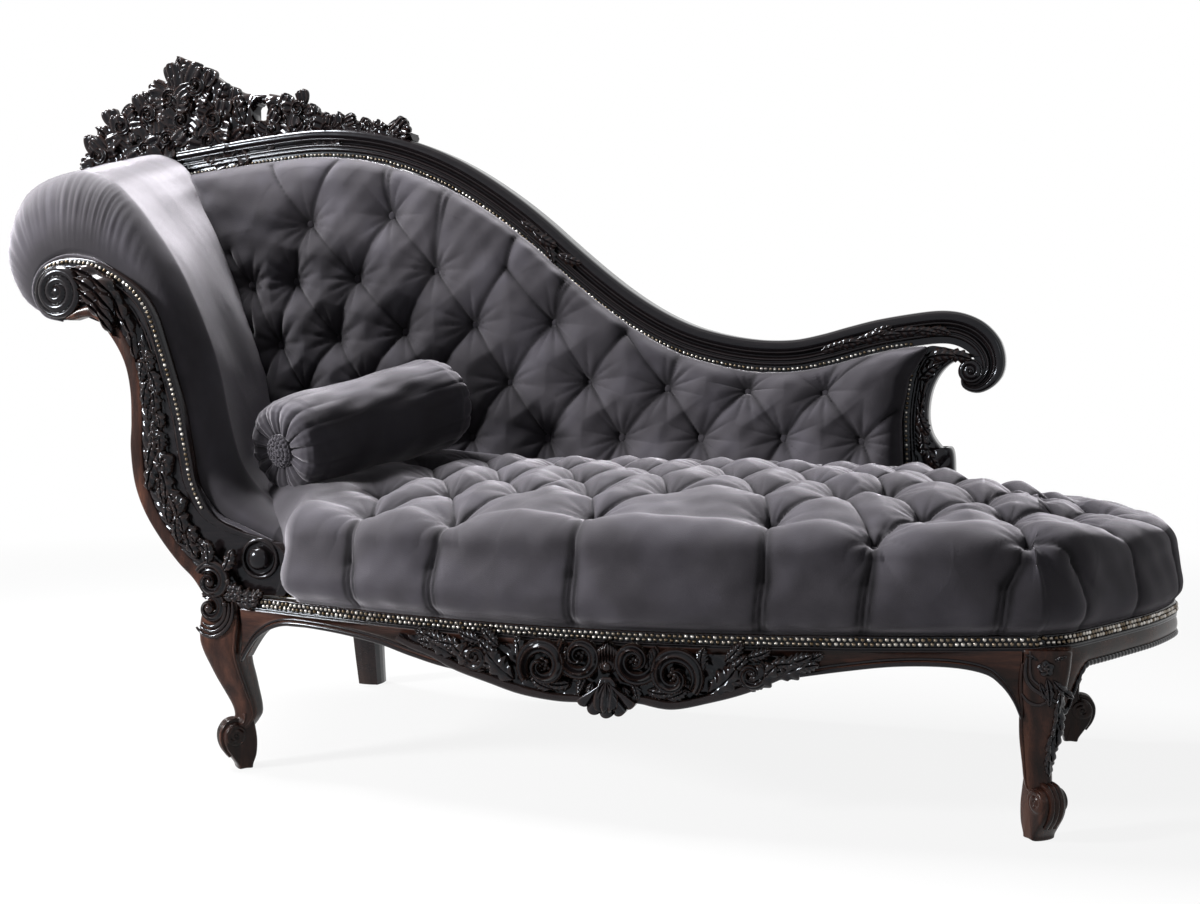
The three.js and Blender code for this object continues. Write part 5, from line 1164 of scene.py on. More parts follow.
def rail_profile():
    """The back rail's section from its lower back edge round the front to its upper back edge, as places
    across (down is negative) and depths behind the front: a fillet for the nails, two beads, a hollow,
    a bead, a broad round back and a rounded outer edge. Beads are half circles."""
    a = np.linspace(-26, 22.5, 110)
    corners = np.array(
        [
            (-26, -5.6), (-15.5, -5.6), (-15, -3.4), (-8, -3.4), (-7, -3.0), (-3.4, -2.6), (-2.6, -3.6), (3.4, -2.6),
            (4.2, -1.8), (22.5, -3.5),
        ]
    )
    out = np.interp(a, *corners.T)
    for middle, radius, high in ((-12.4, 2.7, 3.2), (-5.6, 2.2, 2.4), (6.0, 2.0, 2.2)):
        out = out + high * np.sqrt(np.clip(1 - ((a - middle) / radius) ** 2, 0, 1))
    out = out + 4.6 * np.sqrt(np.clip(1 - ((a - 15.4) / 7.4) ** 2, 0, 1))
    out = out - 3.2 * np.exp(-((a - 0.3) / 2.6) ** 2)
    turn = np.linspace(0, math.pi / 2, 12)[1:]
    edge = np.stack([22.5 + 3.5 * np.sin(turn), 3.5 + 12 * (1 - np.cos(turn))], 1)
    front = np.stack([a, -out], 1)
    return np.concatenate([[(-26, 56), (-26, 30)], front, edge, [(26, 34), (26, 50), (22, 58), (-20, 58)]])


def back_rail():
    """The back rail: its section swept along the falling line, then round the curl, where it narrows over
    the last 130 mm to 0.16 of its width, ended by an eye."""
    curl = [
        (950, 650), (985, 652.5), (1012, 648), (1035, 636), (1052, 616), (1058, 592), (1051, 572), (1036, 560),
        (1020, 563), (1016, 576),
    ]
    line = fair(np.concatenate([rail_line[rail_line[:, 0] < 925][::10], curl]), 460)
    left = np.linspace(1, 0, 460) * np.sum(np.linalg.norm(np.diff(line, axis=0), axis=1))
    width = np.interp(left, [0, 25, 60, 100, 130], [0.16, 0.4, 0.78, 0.96, 1])
    normal = -right_of(line)
    held = np.concatenate([normal[:1].repeat(3, 0), normal, normal[-1:].repeat(3, 0)])
    normal = unit(smoothed(held, np.ones(7) / 7))
    across, deep = rail_profile().T
    across = across * width[:, None]
    deep = np.where(deep < 30, deep * np.sqrt(width)[:, None], deep)
    rings = on_front(line[:, None] + normal[:, None] * across[..., None], 500 + deep)
    eye = curl_disc((1027, 503, 583), (0, -1, 0), 19, 8, turns=2.2, start=2.0, hand=-1, drop=46)
    # leaf sprigs lie on the rail where it turns
    seat = flat_at(502.0)
    spray = [
        (300, 820, -0.75, 50, 0.4), (322, 802, -0.95, 40, -0.5), (344, 782, -0.6, 46, 0.4), (278, 838, -0.7, 36, 0.3),
        (812, 620, 0.4, 44, -0.4), (846, 632, 0.1, 48, 0.4), (878, 634, 0.35, 40, -0.4), (904, 646, -0.1, 44, 0.3),
        (790, 615, 0.2, 40, 0.3), (864, 642, 0.15, 40, 0.3), (934, 646, 0.05, 40, -0.3), (962, 650, -0.1, 34, -0.3),
    ]
    leaves = strewn(spray, lambda bend: leaf(4, bend, 0.4, 0.2, 20, 11), seat, rise=0.7)
    berries = [berry(place, 3.6, seat, 1.5) for place in ((826, 624), (868, 638), (905, 648), (334, 800))]
    return together(closed(rings), eye, *leaves, *berries)


piece("back_rail_moulding", back_rail(), EBONY, ["back_top_rail"], crease=40)


# Stile under the back rail's volute --------------------

STILE_LEFT = [
    (985, 621), (962, 622), (942, 606), (930, 576), (923, 530), (922, 490), (924, 440), (925, 380), (925, 263),
]
STILE_RIGHT = [
    (1042, 606), (1006, 600), (983, 582), (968, 552), (963, 515), (968, 485), (983, 462), (1004, 443), (1000, 263),
]


def banded(near, far, rows, columns, height, y, back_y):
    """A carved board from y to back_y between two edge lines seen from the front. height(s, a, b) is how
    far it stands out, for a length s down the board and distances a and b in from its near and far edges."""
    near, far = fair(near, rows), fair(far, rows)
    t = np.linspace(0, 1, columns)
    t = 0.5 - 0.5 * np.cos(math.pi * t) * (0.55 + 0.45 * np.abs(2 * t - 1))
    across = far - near
    width = np.linalg.norm(across, axis=1, keepdims=True)
    run = run_of((near + far) / 2)[:, None]
    flat = near[:, None] + across[:, None] * t[None, :, None]
    out = height(np.broadcast_to(run, (rows, columns)), width * t, width * (1 - t))
    return slab(on_front(flat, y - out), on_front(flat, back_y))


def edge_round(x, radius):
    """The fall of a rounded edge at x in from it: a quarter circle."""
    return -radius * (1 - np.sqrt(np.clip(1 - (1 - np.clip(x / radius, 0, 1)) ** 2, 0, 1)))


def herringbone(s, t, pitch, seed):
    """Leafage in a band: lobes that run out and down from its middle, as |sin| of s / pitch + |t|, broken
    up by a wandering phase."""
    wander = 0.35 * ripple(np.stack([s, t * 20], -1), pitch * 3, seed)
    lobes = np.abs(np.sin(math.pi * (s / pitch + 0.8 * np.abs(t) + wander))) ** 0.75
    groove = 0.5 * np.exp(-((t / 0.16) ** 2))
    return np.sqrt(np.clip(1 - np.abs(t) ** 2.6, 0, 1)) * (0.42 + 0.58 * lobes - groove)


def stile_height(s, a, b):
    """The stile's relief: two beads by its inner edge, one by its outer edge, and leafage between them."""
    field = np.clip((a - 21) / np.maximum(a + b - 27, 8), 0, 1) * 2 - 1
    inside = smoothstep(a, 19, 23) * smoothstep(b, 4, 9)
    out = edge_round(a, 3) + edge_round(b, 5) + half_round(a, 15, 2.4) + half_round(a, 20, 1.8)
    return out + inside * 6.5 * herringbone(s, field, 19, 71) + half_round(b, 4.5, 3.2)


def stile():
    """The stile: its carved board, with leaves that climb from it under the volute."""
    board = banded(STILE_LEFT, STILE_RIGHT, 240, 56, stile_height, 505.0, 549.0)
    spray = [
        (956, 602, 0.35, 46, -0.5), (985, 610, -0.05, 42, -0.3), (945, 566, 0.95, 42, -0.5),
        (948, 520, -1.4, 40, 0.5), (952, 488, -1.25, 38, -0.5), (962, 462, -1.3, 36, 0.5),
    ]
    leaves = strewn(spray, lambda bend: leaf(4, bend, 0.5, 0.24, 20, 11), flat_at(502.5), rise=0.85)
    return together(board, *leaves)


piece("stile_carving", stile(), EBONY, ["back_end_stile"], crease=40)


# Front facing of the arm --------------------

FACING_UPPER = [
    (-300, 690), (-306, 712), (-292, 737), (-262, 750), (-222, 750), (-185, 740), (-133, 708), (-105, 672),
    (-85, 620), (-72, 580), (-57, 530), (-44, 462), (-35, 420), (-9, 376), (29, 356), (72, 345), (100, 333),
    (119, 312), (121, 290), (108, 263),
]
FACING_LOWER = [
    (-298, 688), (-288, 672), (-270, 661), (-246, 660), (-222, 665), (-196, 660), (-170, 632), (-150, 597),
    (-141, 557), (-140, 510), (-142, 470), (-136, 420), (-120, 378), (-95, 340), (-66, 306), (-42, 284), (-26, 263),
]


def facing_height(s, a, b):
    """The facing's relief: a strip for the nails, a bead, a plain band, then between two beads a field of
    leafage that begins as long reeds, and at the foot a plain lobe."""
    top = 1 - smoothstep(s, 90, 150)
    nail_strip = 1 - smoothstep(s, 395, 425)
    field_to = np.minimum(a + b - 27, 58)
    field = np.clip((b - 20) / np.maximum(field_to - 20, 6), 0, 1) * 2 - 1
    inside = smoothstep(b, 18.5, 22) * smoothstep(field_to - b, 0, 4)
    leafage = herringbone(s, field, 21, 81)
    reeds = 0.55 + 0.45 * np.abs(np.cos(math.pi * (field * 2.6 + 0.004 * s))) ** 0.8
    carved = 6.0 * (reeds * top + leafage * (1 - top))
    out = edge_round(a, 3.0) + nail_strip * half_round(a, 16.5, 2.2) + half_round(b, 19, 2.0)
    inner_bead = half_round(field_to - b, -2.2, 2.2) * (1 - top)
    out = out + (1 - inside) * inner_bead - 1.2 * smoothstep(a, 18, 20) * (1 - inside)
    return out + inside * carved


def facing():
    """The arm's front facing: its carved board, long folds that flow from the volute, and down its middle
    leaves to left and right in turn, with berries and roses among them."""
    parts = [banded(FACING_UPPER, FACING_LOWER, 380, 78, facing_height, -18.0, 9.8)]
    seat = flat_at(-20.5)
    long_folds = [
        (-236, 736, -0.15, 92, -0.75), (-232, 722, -0.3, 96, -0.7), (-226, 706, -0.45, 88, -0.5),
        (-214, 690, -0.55, 74, -0.5), (-176, 712, -0.8, 70, -0.5), (-160, 692, -0.95, 66, -0.3),
        (-140, 655, -1.15, 58, -0.35),
    ]
    parts += strewn(long_folds, lambda bend: leaf(2, bend, 0.25, 0.13, 30, 9), seat, rise=1.1)
    rng = np.random.default_rng(83)
    spine = [
        (-122, 645), (-112, 600), (-104, 560), (-98, 520), (-96, 480), (-92, 440), (-80, 404), (-60, 368), (-36, 338),
        (-12, 306),
    ]
    spine = fair(spine, 26)
    along = headings(spine)
    for i in range(1, 23):
        way = math.atan2(along[i, 1], along[i, 0])
        side = -1 if i % 2 else 1
        size = rng.uniform(30, 42) * (1.15 if 10 < i < 20 else 1.0)
        turn = way + side * rng.uniform(0.35, 0.75)
        shape = leaf(int(rng.integers(3, 6)), -side * 0.7, 0.7, 0.24, 20, 11)
        parts.append(laid(shape, spine[i], turn, size, seat))
        if i % 3 == 0:
            for _ in range(3):
                off = rng.normal(size=2) * 5.5
                parts.append(berry(spine[i] + off, rng.uniform(3.4, 4.8), seat, 3.0))
    for x, z, r, h in ((-86, 452, 17, 1), (-62, 392, 14, -1), (-100, 488, 12, -1)):
        parts.append(laid(rose(5, 6 * h), (x, z), 0.4, r, seat, lift=1.0))
    winding = {"turns": 3.0, "start": 2.4, "hand": 1, "rows": 60, "columns": 128}
    return together(*parts, curl_disc((-259, -19, 701), (0, -1, 0), 39, 10.5, drop=6, **winding))


def facing_band():
    """The facing's outer band: a round-backed moulding of mahogany along its lower edge, 19 mm wide."""
    line = fair(FACING_LOWER[3:], 240)[:, None]
    inward = -right_of(line[:, 0])[:, None]
    turn = np.linspace(0, math.pi, 22)
    width = 19.5 * smoothstep(np.linspace(0, 1, 240), -0.05, 0.12)[:, None]
    a = (0.5 - 0.5 * np.cos(turn)) * width
    out = np.sin(turn)[None] ** 0.7 * 4.2
    flat = line + inward * a[..., None]
    side = on_front(flat[:, :1] - inward * 0.6, -18.5 - out[:, :1])
    inner = on_front(line + inward * width[..., None], -16.0)
    outer = line - inward * 0.6
    rim = [on_front(outer + inward * 1.2, 9.6), on_front(outer, 9.6)]
    return closed(np.concatenate([side, on_front(flat, -18.5 - out), inner, *rim], 1))


piece("arm_facing_carving", facing(), EBONY, ["arm_front_support", "arm_leaf_carving"], crease=45)
piece("arm_facing_outer_band", facing_band(), MAHOGANY_LEG)


def boss():
    """The boss at the arm's foot: a ball of glossy wood in a ringed dish, spun about its middle."""
    profile = [
        (30, -6), (30, 0.5), (29, 2.6), (27, 3.4), (25, 2.6), (24, 0.8), (22.5, -1.0), (19.5, -2.0), (17.5, -1.6),
        (16.4, 0.2), (16.6, 3.2), (16.0, 6.4), (14.2, 9.6), (11.2, 12.2), (7.4, 14.0), (3.4, 14.9), (0.02, 15.1),
    ]
    return spun(fair(profile, 60), (68.0, -18.2, 316.0), (0, -1, 0), 56)


piece("arm_foot_boss", boss(), EBONY, ["arm_boss"])


# Seat rails --------------------

RAIL_BOTTOM = fair(
    [
        (40, 168), (52, 186), (68, 205), (90, 219), (118, 227), (160, 227), (220, 222), (277, 213), (324, 201),
        (384, 189), (471, 183), (584, 182), (712, 184), (791, 193), (846, 203), (910, 214), (972, 222), (1036, 223),
        (1078, 216), (1098, 202), (1112, 183), (1122, 160),
    ],
    420,
)


def along_rail(plan, out, section):
    """A rail's body from a section of (outwards, height) pairs that may change from place to place."""
    place = plan[:, None] + out[:, None] * section[..., :1]
    return closed(np.concatenate([place, section[..., 1:2]], 2))


def with_back(face_out, heights, high, low):
    """A rail's section: its face, and its flat back 24 mm in, between two heights."""
    face = np.stack(np.broadcast_arrays(face_out, heights), -1)
    back = np.stack([np.full((len(high), 2), -24.0), np.stack([high, low], 1)], -1)
    return np.concatenate([face, back], 1)


def rail_board(plan, out, low, high, face_out):
    """A rail's board: face_out says how far its face stands out at even steps from low to high."""
    w = np.linspace(0, 1, len(face_out))[None]
    heights = low[:, None] + (high - low)[:, None] * w
    return along_rail(plan, out, with_back(face_out[None], heights, high, low))


def swelling(swell):
    """A face that swells outwards as swell * sin(pi * w)^0.8."""
    return 1.5 + swell * np.sin(math.pi * np.linspace(0, 1, 24)) ** 0.8


def moulded_top(plan, out, top):
    """The moulding under the nails: a flat for the nails over two small beads, as half circles."""
    d = np.linspace(20, 0.0, 64)
    line = np.interp(d, [0, 12.6, 13.0, 20], [2.6, 2.6, 2.9, 2.4])
    line = line + half_round(d, 14.9, 1.7) + half_round(d, 18.3, 1.5)
    return along_rail(plan, out, with_back(line[None], top[:, None] - d, top - 0.4, top - 20))


def bottom_bead(plan, out, low):
    """The bead along a rail's bottom: a circle, with a small quirk bead over it."""
    radius = 3.5
    turn = full_turn(18)
    circles = [
        np.stack(np.broadcast_arrays(proud + size * np.cos(turn), up[:, None] + size * np.sin(turn)), -1)
        for proud, up, size in ((2, low + radius, radius), (3.6, low + 2 * radius + 2.8, 1.7))
    ]
    return together(*(along_rail(plan, out, circle) for circle in circles))


front_plan = np.stack([RAIL_BOTTOM[:, 0], front_edge_y(RAIL_BOTTOM[:, 0])], 1)
front_out = right_of(front_plan)
foot_plan = fair(FOOT_EDGE[:-1], 260)
foot_out = right_of(foot_plan)
foot_run = run_of(foot_plan)
foot_low = 219 - 45 * np.clip((92 - foot_run) / 45, 0, 1.1) ** 2
# the top moulding runs on from the front round the foot
edge_x = np.linspace(40, 1138, 420)
edge_plan = even(np.concatenate([np.stack([edge_x, front_edge_y(edge_x)], 1), foot_plan]), 640)
edge_out = right_of(edge_plan)
edge_top = front_rail_top(np.clip(edge_plan[:, 0], 12, 1145))
panel_low, panel_high = RAIL_BOTTOM[:, 1] + 3, front_rail_top(RAIL_BOTTOM[:, 0]) - 18
# between its mouldings the front rail's face is hollowed by 3.5 * (1 - (2 w - 1)^2)
hollow = 1.0 + 3.5 * (2 * np.linspace(0, 1, 26) - 1) ** 2
front_board = rail_board(front_plan, front_out, panel_low, panel_high, hollow)
piece("front_rail_panels", front_board, MAHOGANY_RAIL, ["front_seat_rail"])
mouldings = moulded_top(edge_plan, edge_out, edge_top), bottom_bead(front_plan, front_out, RAIL_BOTTOM[:, 1] - 3)
piece("front_rail_mouldings", together(*mouldings), EBONY)


foot_board = rail_board(foot_plan, foot_out, foot_low, np.full(len(foot_plan), 244.0), swelling(3.5))
foot_rails = [f"foot_seat_rail_{part}" for part in ("front", "centre", "back")]
piece("foot_rail_face", foot_board, MAHOGANY_RAIL, foot_rails)


def leafed_bead():
    """The foot rail's lower bead, carved with small overlapping leaves: its radius goes as 3.2 + 1.0 *
    |sin(pi * s / 9)| for a length s along it."""
    fine = even(np.column_stack([foot_plan, foot_out, foot_run, foot_low]), 620)
    turn = full_turn(14)[None]
    radius = 3.2 + 1.0 * np.abs(np.sin(math.pi * (fine[:, 4:5] / 9 + 0.25 * np.cos(turn)))) ** 0.8
    section = np.stack([2.2 + radius * np.cos(turn), fine[:, 5:6] + radius * np.sin(turn)], -1)
    return along_rail(fine[:, :2], fine[:, 2:4], section)


piece("foot_rail_lower_bead", leafed_bead(), EBONY)

head_plan = even([(-75.0, 548.0), (-31.0, 12.0)], 40)
head_low, head_high = np.full(40, 261.6) - 44, np.full(40, 261.6) - 4
head_board = rail_board(head_plan, right_of(head_plan), head_low, head_high, swelling(3.0))
piece("head_rail_face", head_board, MAHOGANY_RAIL, ["head_seat_rail"])


# Legs --------------------
# Stations down a leg: height, middle x, middle y, half width, squareness.

HEAD_LEG = [
    (261.5, 6, 6, 27, 7), (240, 6, 6, 27, 7), (233, 4, 3, 31, 6), (215, 3, 2, 32.5, 6), (195, 2, 0, 31.5, 5.5),
    (177, 3, 0, 28.5, 5), (156, 7, 4, 25.5, 5), (136, 12, 9, 23.5, 5), (116, 17, 14.5, 21, 4.6),
    (95, 22, 20, 18.6, 4.2), (80, 23.5, 21.5, 17.4, 4), (70, 20, 18.5, 17, 3.6), (62, 17, 15, 15.5, 3.4),
    (54, 14, 12, 13, 3.2),
]
FOOT_LEG = [
    (261.5, 1140, 20, 18, 7), (248, 1140, 20, 18, 7), (246, 1150, 4, 29.5, 7), (233, 1151, 3, 30, 6),
    (215, 1149, 2, 30, 6), (195, 1147, 1, 28.5, 5.5), (177, 1145.5, 0, 26, 5), (156, 1143.5, 2, 23.8, 5),
    (136, 1142, 5, 21.6, 5), (116, 1141.5, 9, 19.4, 4.6), (95, 1142, 12, 18, 4.2), (80, 1143, 13.5, 17.6, 4),
    (70, 1144, 12, 17, 3.6), (62, 1146, 11, 15.5, 3.4), (54, 1147, 10, 13, 3.2),
]
BACK_LEG = [
    (261.5, 1198, 549, 26, 7), (240, 1198, 549, 26, 7), (233, 1201, 552, 32, 6), (215, 1202, 553, 31, 6),
    (195, 1203, 554, 29.5, 5.5), (177, 1202, 553, 27, 5), (156, 1198, 549, 24, 5), (136, 1191, 543, 21.5, 5),
    (116, 1185, 538, 19.5, 4.6), (95, 1182, 535, 18, 4.2), (80, 1182, 535, 17.4, 4), (70, 1184, 536, 17, 3.6),
    (62, 1187, 537, 15.5, 3.4), (54, 1190, 538, 13, 3.2),
]


def on_ring(height, cx, cy, half, q, turn, proud=0.0):
    """Places at given turns round a superellipse, |x|^q + |y|^q = half^q, about a middle at a height."""
    c, n = np.cos(turn), np.sin(turn)
    reach = half / (np.abs(c) ** q + np.abs(n) ** q) ** (1 / q) + proud
    return np.stack(np.broadcast_arrays(cx + reach * c, cy + reach * n, height), -1)


def shank(stations):
    """A cabriole leg: rings of a superellipse down a double curve."""
    return closed(on_ring(*np.split(fair(stations, 130), 5, 1), full_turn(64)))


def ring_at(stations, height):
    """A leg's middle x and y, half width and squareness at given heights."""
    s = fair(stations, 200)[::-1]
    return [np.interp(height, s[:, 0], column) for column in s.T[1:]]


TOE_SIDE = [
    (-12, 84), (-15, 66), (-18, 44), (-17, 22), (-12, 7), (-10, 0), (0, 0), (10, 0), (13, 7), (21, 19), (29, 32),
    (33, 46), (32, 58), (25, 68), (15, 71.5), (8, 70), (5, 76), (4, 84), (-6, 86),
]


def toe(place, way):
    """A foot seen from the side as one outline, with a toe that rolls up. From its middle plane to 17.5 *
    sin(a) aside the outline shrinks by 4 * (1 - cos(a))^1.2, and a spiral stands on each cheek."""
    way = np.array([way[0], way[1], 0.0]) / np.hypot(*way)
    axis = np.array([-way[1], way[0], 0.0])
    up = np.array([0, 0, 1.0])
    place = np.array([place[0], place[1], 0.0])
    side = fair(TOE_SIDE + TOE_SIDE[:1], 121)[:-1]
    inward = right_of(np.concatenate([side, side[:2]]))[:-2]
    inward = inward * np.sign(np.sum((side.mean(0) - side) * inward))
    rings = []
    for a in np.linspace(-math.pi / 2, math.pi / 2, 19):
        flat = side + inward * 4.0 * (1 - math.cos(a)) ** 1.2
        rings.append(place + flat[:, :1] * way + np.maximum(flat[:, 1:], 0) * up + 17.5 * math.sin(a) * axis)
    middle = place + 15.5 * way + 52 * up
    spiral = {"turns": 1.6, "start": 1.0, "drop": 5, "rows": 40, "columns": 72}
    cheeks = [
        curl_disc(middle + hand * 16.5 * axis, hand * axis, 15.5, 4.4, hand=hand, **spiral) for hand in (-1, 1)
    ]
    # a reeded tongue lies over the roll and up the ankle
    line = [(14, 100), (9, 88), (6.5, 79), (9, 73), (16, 73.5), (26, 70), (33.5, 59), (34.5, 46), (30.5, 33), (22, 20)]
    line = fair(line, 80)
    out = right_of(line)
    out = out * np.sign(out[60, 0])
    t = np.linspace(-1, 1, 25)
    skin = np.concatenate([1.2 + 1.4 * np.abs(np.cos(1.5 * math.pi * t)), [-5.0, -5.0]])
    across = np.concatenate([t, [1.0, -1.0]])
    wide = 10.5 - 5.5 * smoothstep(np.linspace(1, 0, 80), 0.6, 1.0)
    spot = place + line[:, None, :1] * way + line[:, None, 1:] * up
    lift = out[:, None, :1] * way + out[:, None, 1:] * up
    tongue = spot + (across[None] * wide[:, None])[..., None] * axis + skin[None, :, None] * lift
    return together(closed(rings), closed(tongue), *cheeks)


def edge_beads(stations, turns):
    """Beads down a leg's corners: bars that follow its skin and thin out towards the toe."""
    top, bottom, radius = 228.0, 66.0, 2.6
    height = np.linspace(top, bottom, 90)
    thin = radius * smoothstep(height, bottom - 6, bottom + 60) * 0.55 + radius * 0.45
    ring = ring_at(stations, height)
    return together(*(tube(on_ring(height, *ring, turn, 0.3), thin, 10) for turn in turns))


for leg, stations, way in (
    ("front_head_leg", HEAD_LEG, (-1, -1)),
    ("front_foot_leg", FOOT_LEG, (0.8, -1)),
    ("back_foot_leg", BACK_LEG, (1, 0.1)),
):
    piece(f"{leg}_shank", shank(stations), MAHOGANY_LEG, [leg], crease=60)
    heading = np.array(way) / np.hypot(*way)
    centre = stations[-2][1:3] - heading * 0.5
    # the beads run down the corners beside the toe
    toe_turn = math.atan2(way[1], way[0])
    corners = [math.radians(a) for a in (45, 135, 225, 315)]
    beads = edge_beads(stations, [a for a in corners if -0.5 < math.cos(a - toe_turn) < 0.8])
    piece(f"{leg}_toe_scroll", together(toe(centre, heading), beads), MAHOGANY_LEG, crease=50)


def leg_front(stations):
    """The y of a leg's front skin over a place (x, z) seen from the front, as a function of both."""

    def seat(x, z):
        """The front half of the section |x / half|^q + |y / half|^q = 1 at this height."""
        cx, cy, half, q = ring_at(stations, z)
        share = np.clip(np.abs(x - cx) / half, 0, 0.96)
        return cy - half * (1 - share**q) ** (1 / q)

    return seat


def head_knee():
    """Two eyed scrolls one over the other at the arm's foot, with reeds that curl round under them, and
    leaves to both sides."""
    over = flat_at(-30.0)
    parts = []
    for (x, z), size, turn in (((-3, 281), 27, 2.6), ((-5, 243), 22, 2.2)):
        parts.append(laid(scroll(1.35, -1, 0.42), (x, z), turn, size, over, rise=1.0))
        parts.append(berry((x, z), 7.4, over, 5.0))
    seat = leg_front(HEAD_LEG)
    for k, reach in enumerate((27, 34, 41)):
        turn = np.linspace(-2.15 - 0.1 * k, 0.25, 60)
        x, z = -5 + 0.86 * reach * np.cos(turn), 243 + reach * np.sin(turn)
        path = np.stack([x, np.minimum(-31.0, seat(x, z) - 1.5), z], 1)
        parts.append(tube(path, 3.4 * np.sin(np.linspace(0.2, math.pi - 0.2, 60)) ** 0.5, 12))
    spray = [
        (14, 262, -0.15, 34, 0.6), (18, 272, 0.15, 30, -0.5), (16, 296, 0.9, 36, 0.4), (-8, 306, 1.35, 32, 0.4),
        (34, 262, 0.12, 40, -0.3), (34, 256, -0.12, 40, 0.3), (50, 262, 0.05, 30, 0.4),
    ]
    parts += strewn(spray, lambda bend: leaf(3, bend, 0.5, 0.26, 24, 13), over, lift=1.0, rise=1.1)
    parts += [berry(place, 4.4, over, 2.5) for place in ((24, 282), (46, 268), (2, 262), (18, 250))]
    return together(*parts)


def foot_knee():
    """A small sunk panel with a flower and leaves, a scrolled moulding under it and leaves down the knee's
    outer edge."""
    seat = leg_front(FOOT_LEG)
    parts = [laid(rose(5, 5), (1151, 224), 0.2, 10, seat, rise=1.1), berry((1151, 224), 3.6, seat, 3.0)]
    spray = [
        (1142, 232, 2.5, 17, 0.4), (1160, 232, 0.7, 17, -0.4), (1151, 214, -1.2, 36, -0.5),
        (1158, 212, -0.95, 34, 0.4), (1144, 208, -1.35, 30, 0.5), (1168, 200, -1.5, 34, -0.3),
        (1166, 184, -1.55, 40, 0.15), (1168, 168, -1.75, 44, 0.25), (1162, 146, -1.75, 44, 0.25),
        (1158, 122, -1.7, 36, 0.2),
    ]
    parts += strewn(spray, lambda bend: leaf(3, bend, 0.35, 0.16, 24, 11), seat, rise=0.8)
    for line, radius in (
        ([(1128, 236), (1127, 214), (1134, 200), (1150, 190), (1166, 182), (1172, 172)], 3.0),
        ([(1132, 244), (1133, 216), (1140, 205), (1156, 196)], 2.0),
        ([(1122, 192), (1130, 182), (1142, 178), (1152, 182)], 2.2),
    ):
        flat = fair(line, 60)
        path = on_front(flat, seat(*flat.T) - 0.5)
        parts.append(tube(path, radius * np.sin(np.linspace(0.25, math.pi - 0.25, 60)) ** 0.4, 10))
    return together(*parts)


piece("head_knee_leaves", head_knee(), EBONY, ["head_knee_carving"], crease=50)
piece("foot_knee_leaves", foot_knee(), EBONY, ["foot_knee_carving"], crease=50)


# Carved apron under the front rail --------------------


def fan_leaf(flutes, wide, bend, roll):
    """A broad folded leaf: half width wide * sqrt(1 - ((s - 0.66) / c)^2), where c is 0.68 towards its root
    and 0.36 towards its tip, flutes as a cosine across it, and a tip that rises and rolls over."""
    s = np.linspace(0.02, 1.0, 18)[:, None]
    t = np.linspace(-1, 1, 17)[None]
    ridge = 0.5 + 0.5 * np.cos(math.pi * flutes * (t + 0.18 * np.sin(2.5 * s)))
    low, high = (s - 0.66) / 0.68, (s - 0.66) / 0.36
    half = wide * np.sqrt(np.clip(1 - np.where(s < 0.66, low, high) ** 2, 0.01, 1))
    over = np.clip((s - 0.78) / 0.22, 0, 1)
    along = s * (1 + 0.07 * (ridge - 0.5) * s) - 0.1 * roll * over**2
    angle = bend * s
    mid_u, mid_v = bent(angle)
    u = mid_u + (along - s) * np.cos(angle) - t * half * np.sin(angle)
    v = mid_v + (along - s) * np.sin(angle) + t * half * np.cos(angle)
    h = 0.06 + 0.27 * s**1.2 * (1 - 0.4 * t**2) - 0.24 * roll * over**2
    return relief(u, v, h + 0.085 * (ridge - 0.5) * smoothstep(s, 0, 0.35))


def on_bow(depth):
    """The depth of a face that follows the front rail's bow, standing this far in front of it."""
    return lambda x, z: front_edge_y(x) - depth


APRON_LOW = [
    (306, 222), (326, 214), (359, 205), (396, 190), (444, 177), (490, 165), (539, 159), (575, 159), (594, 160),
    (612, 162), (634, 160), (650, 163), (693, 158), (741, 169), (789, 184), (838, 206), (866, 219),
]


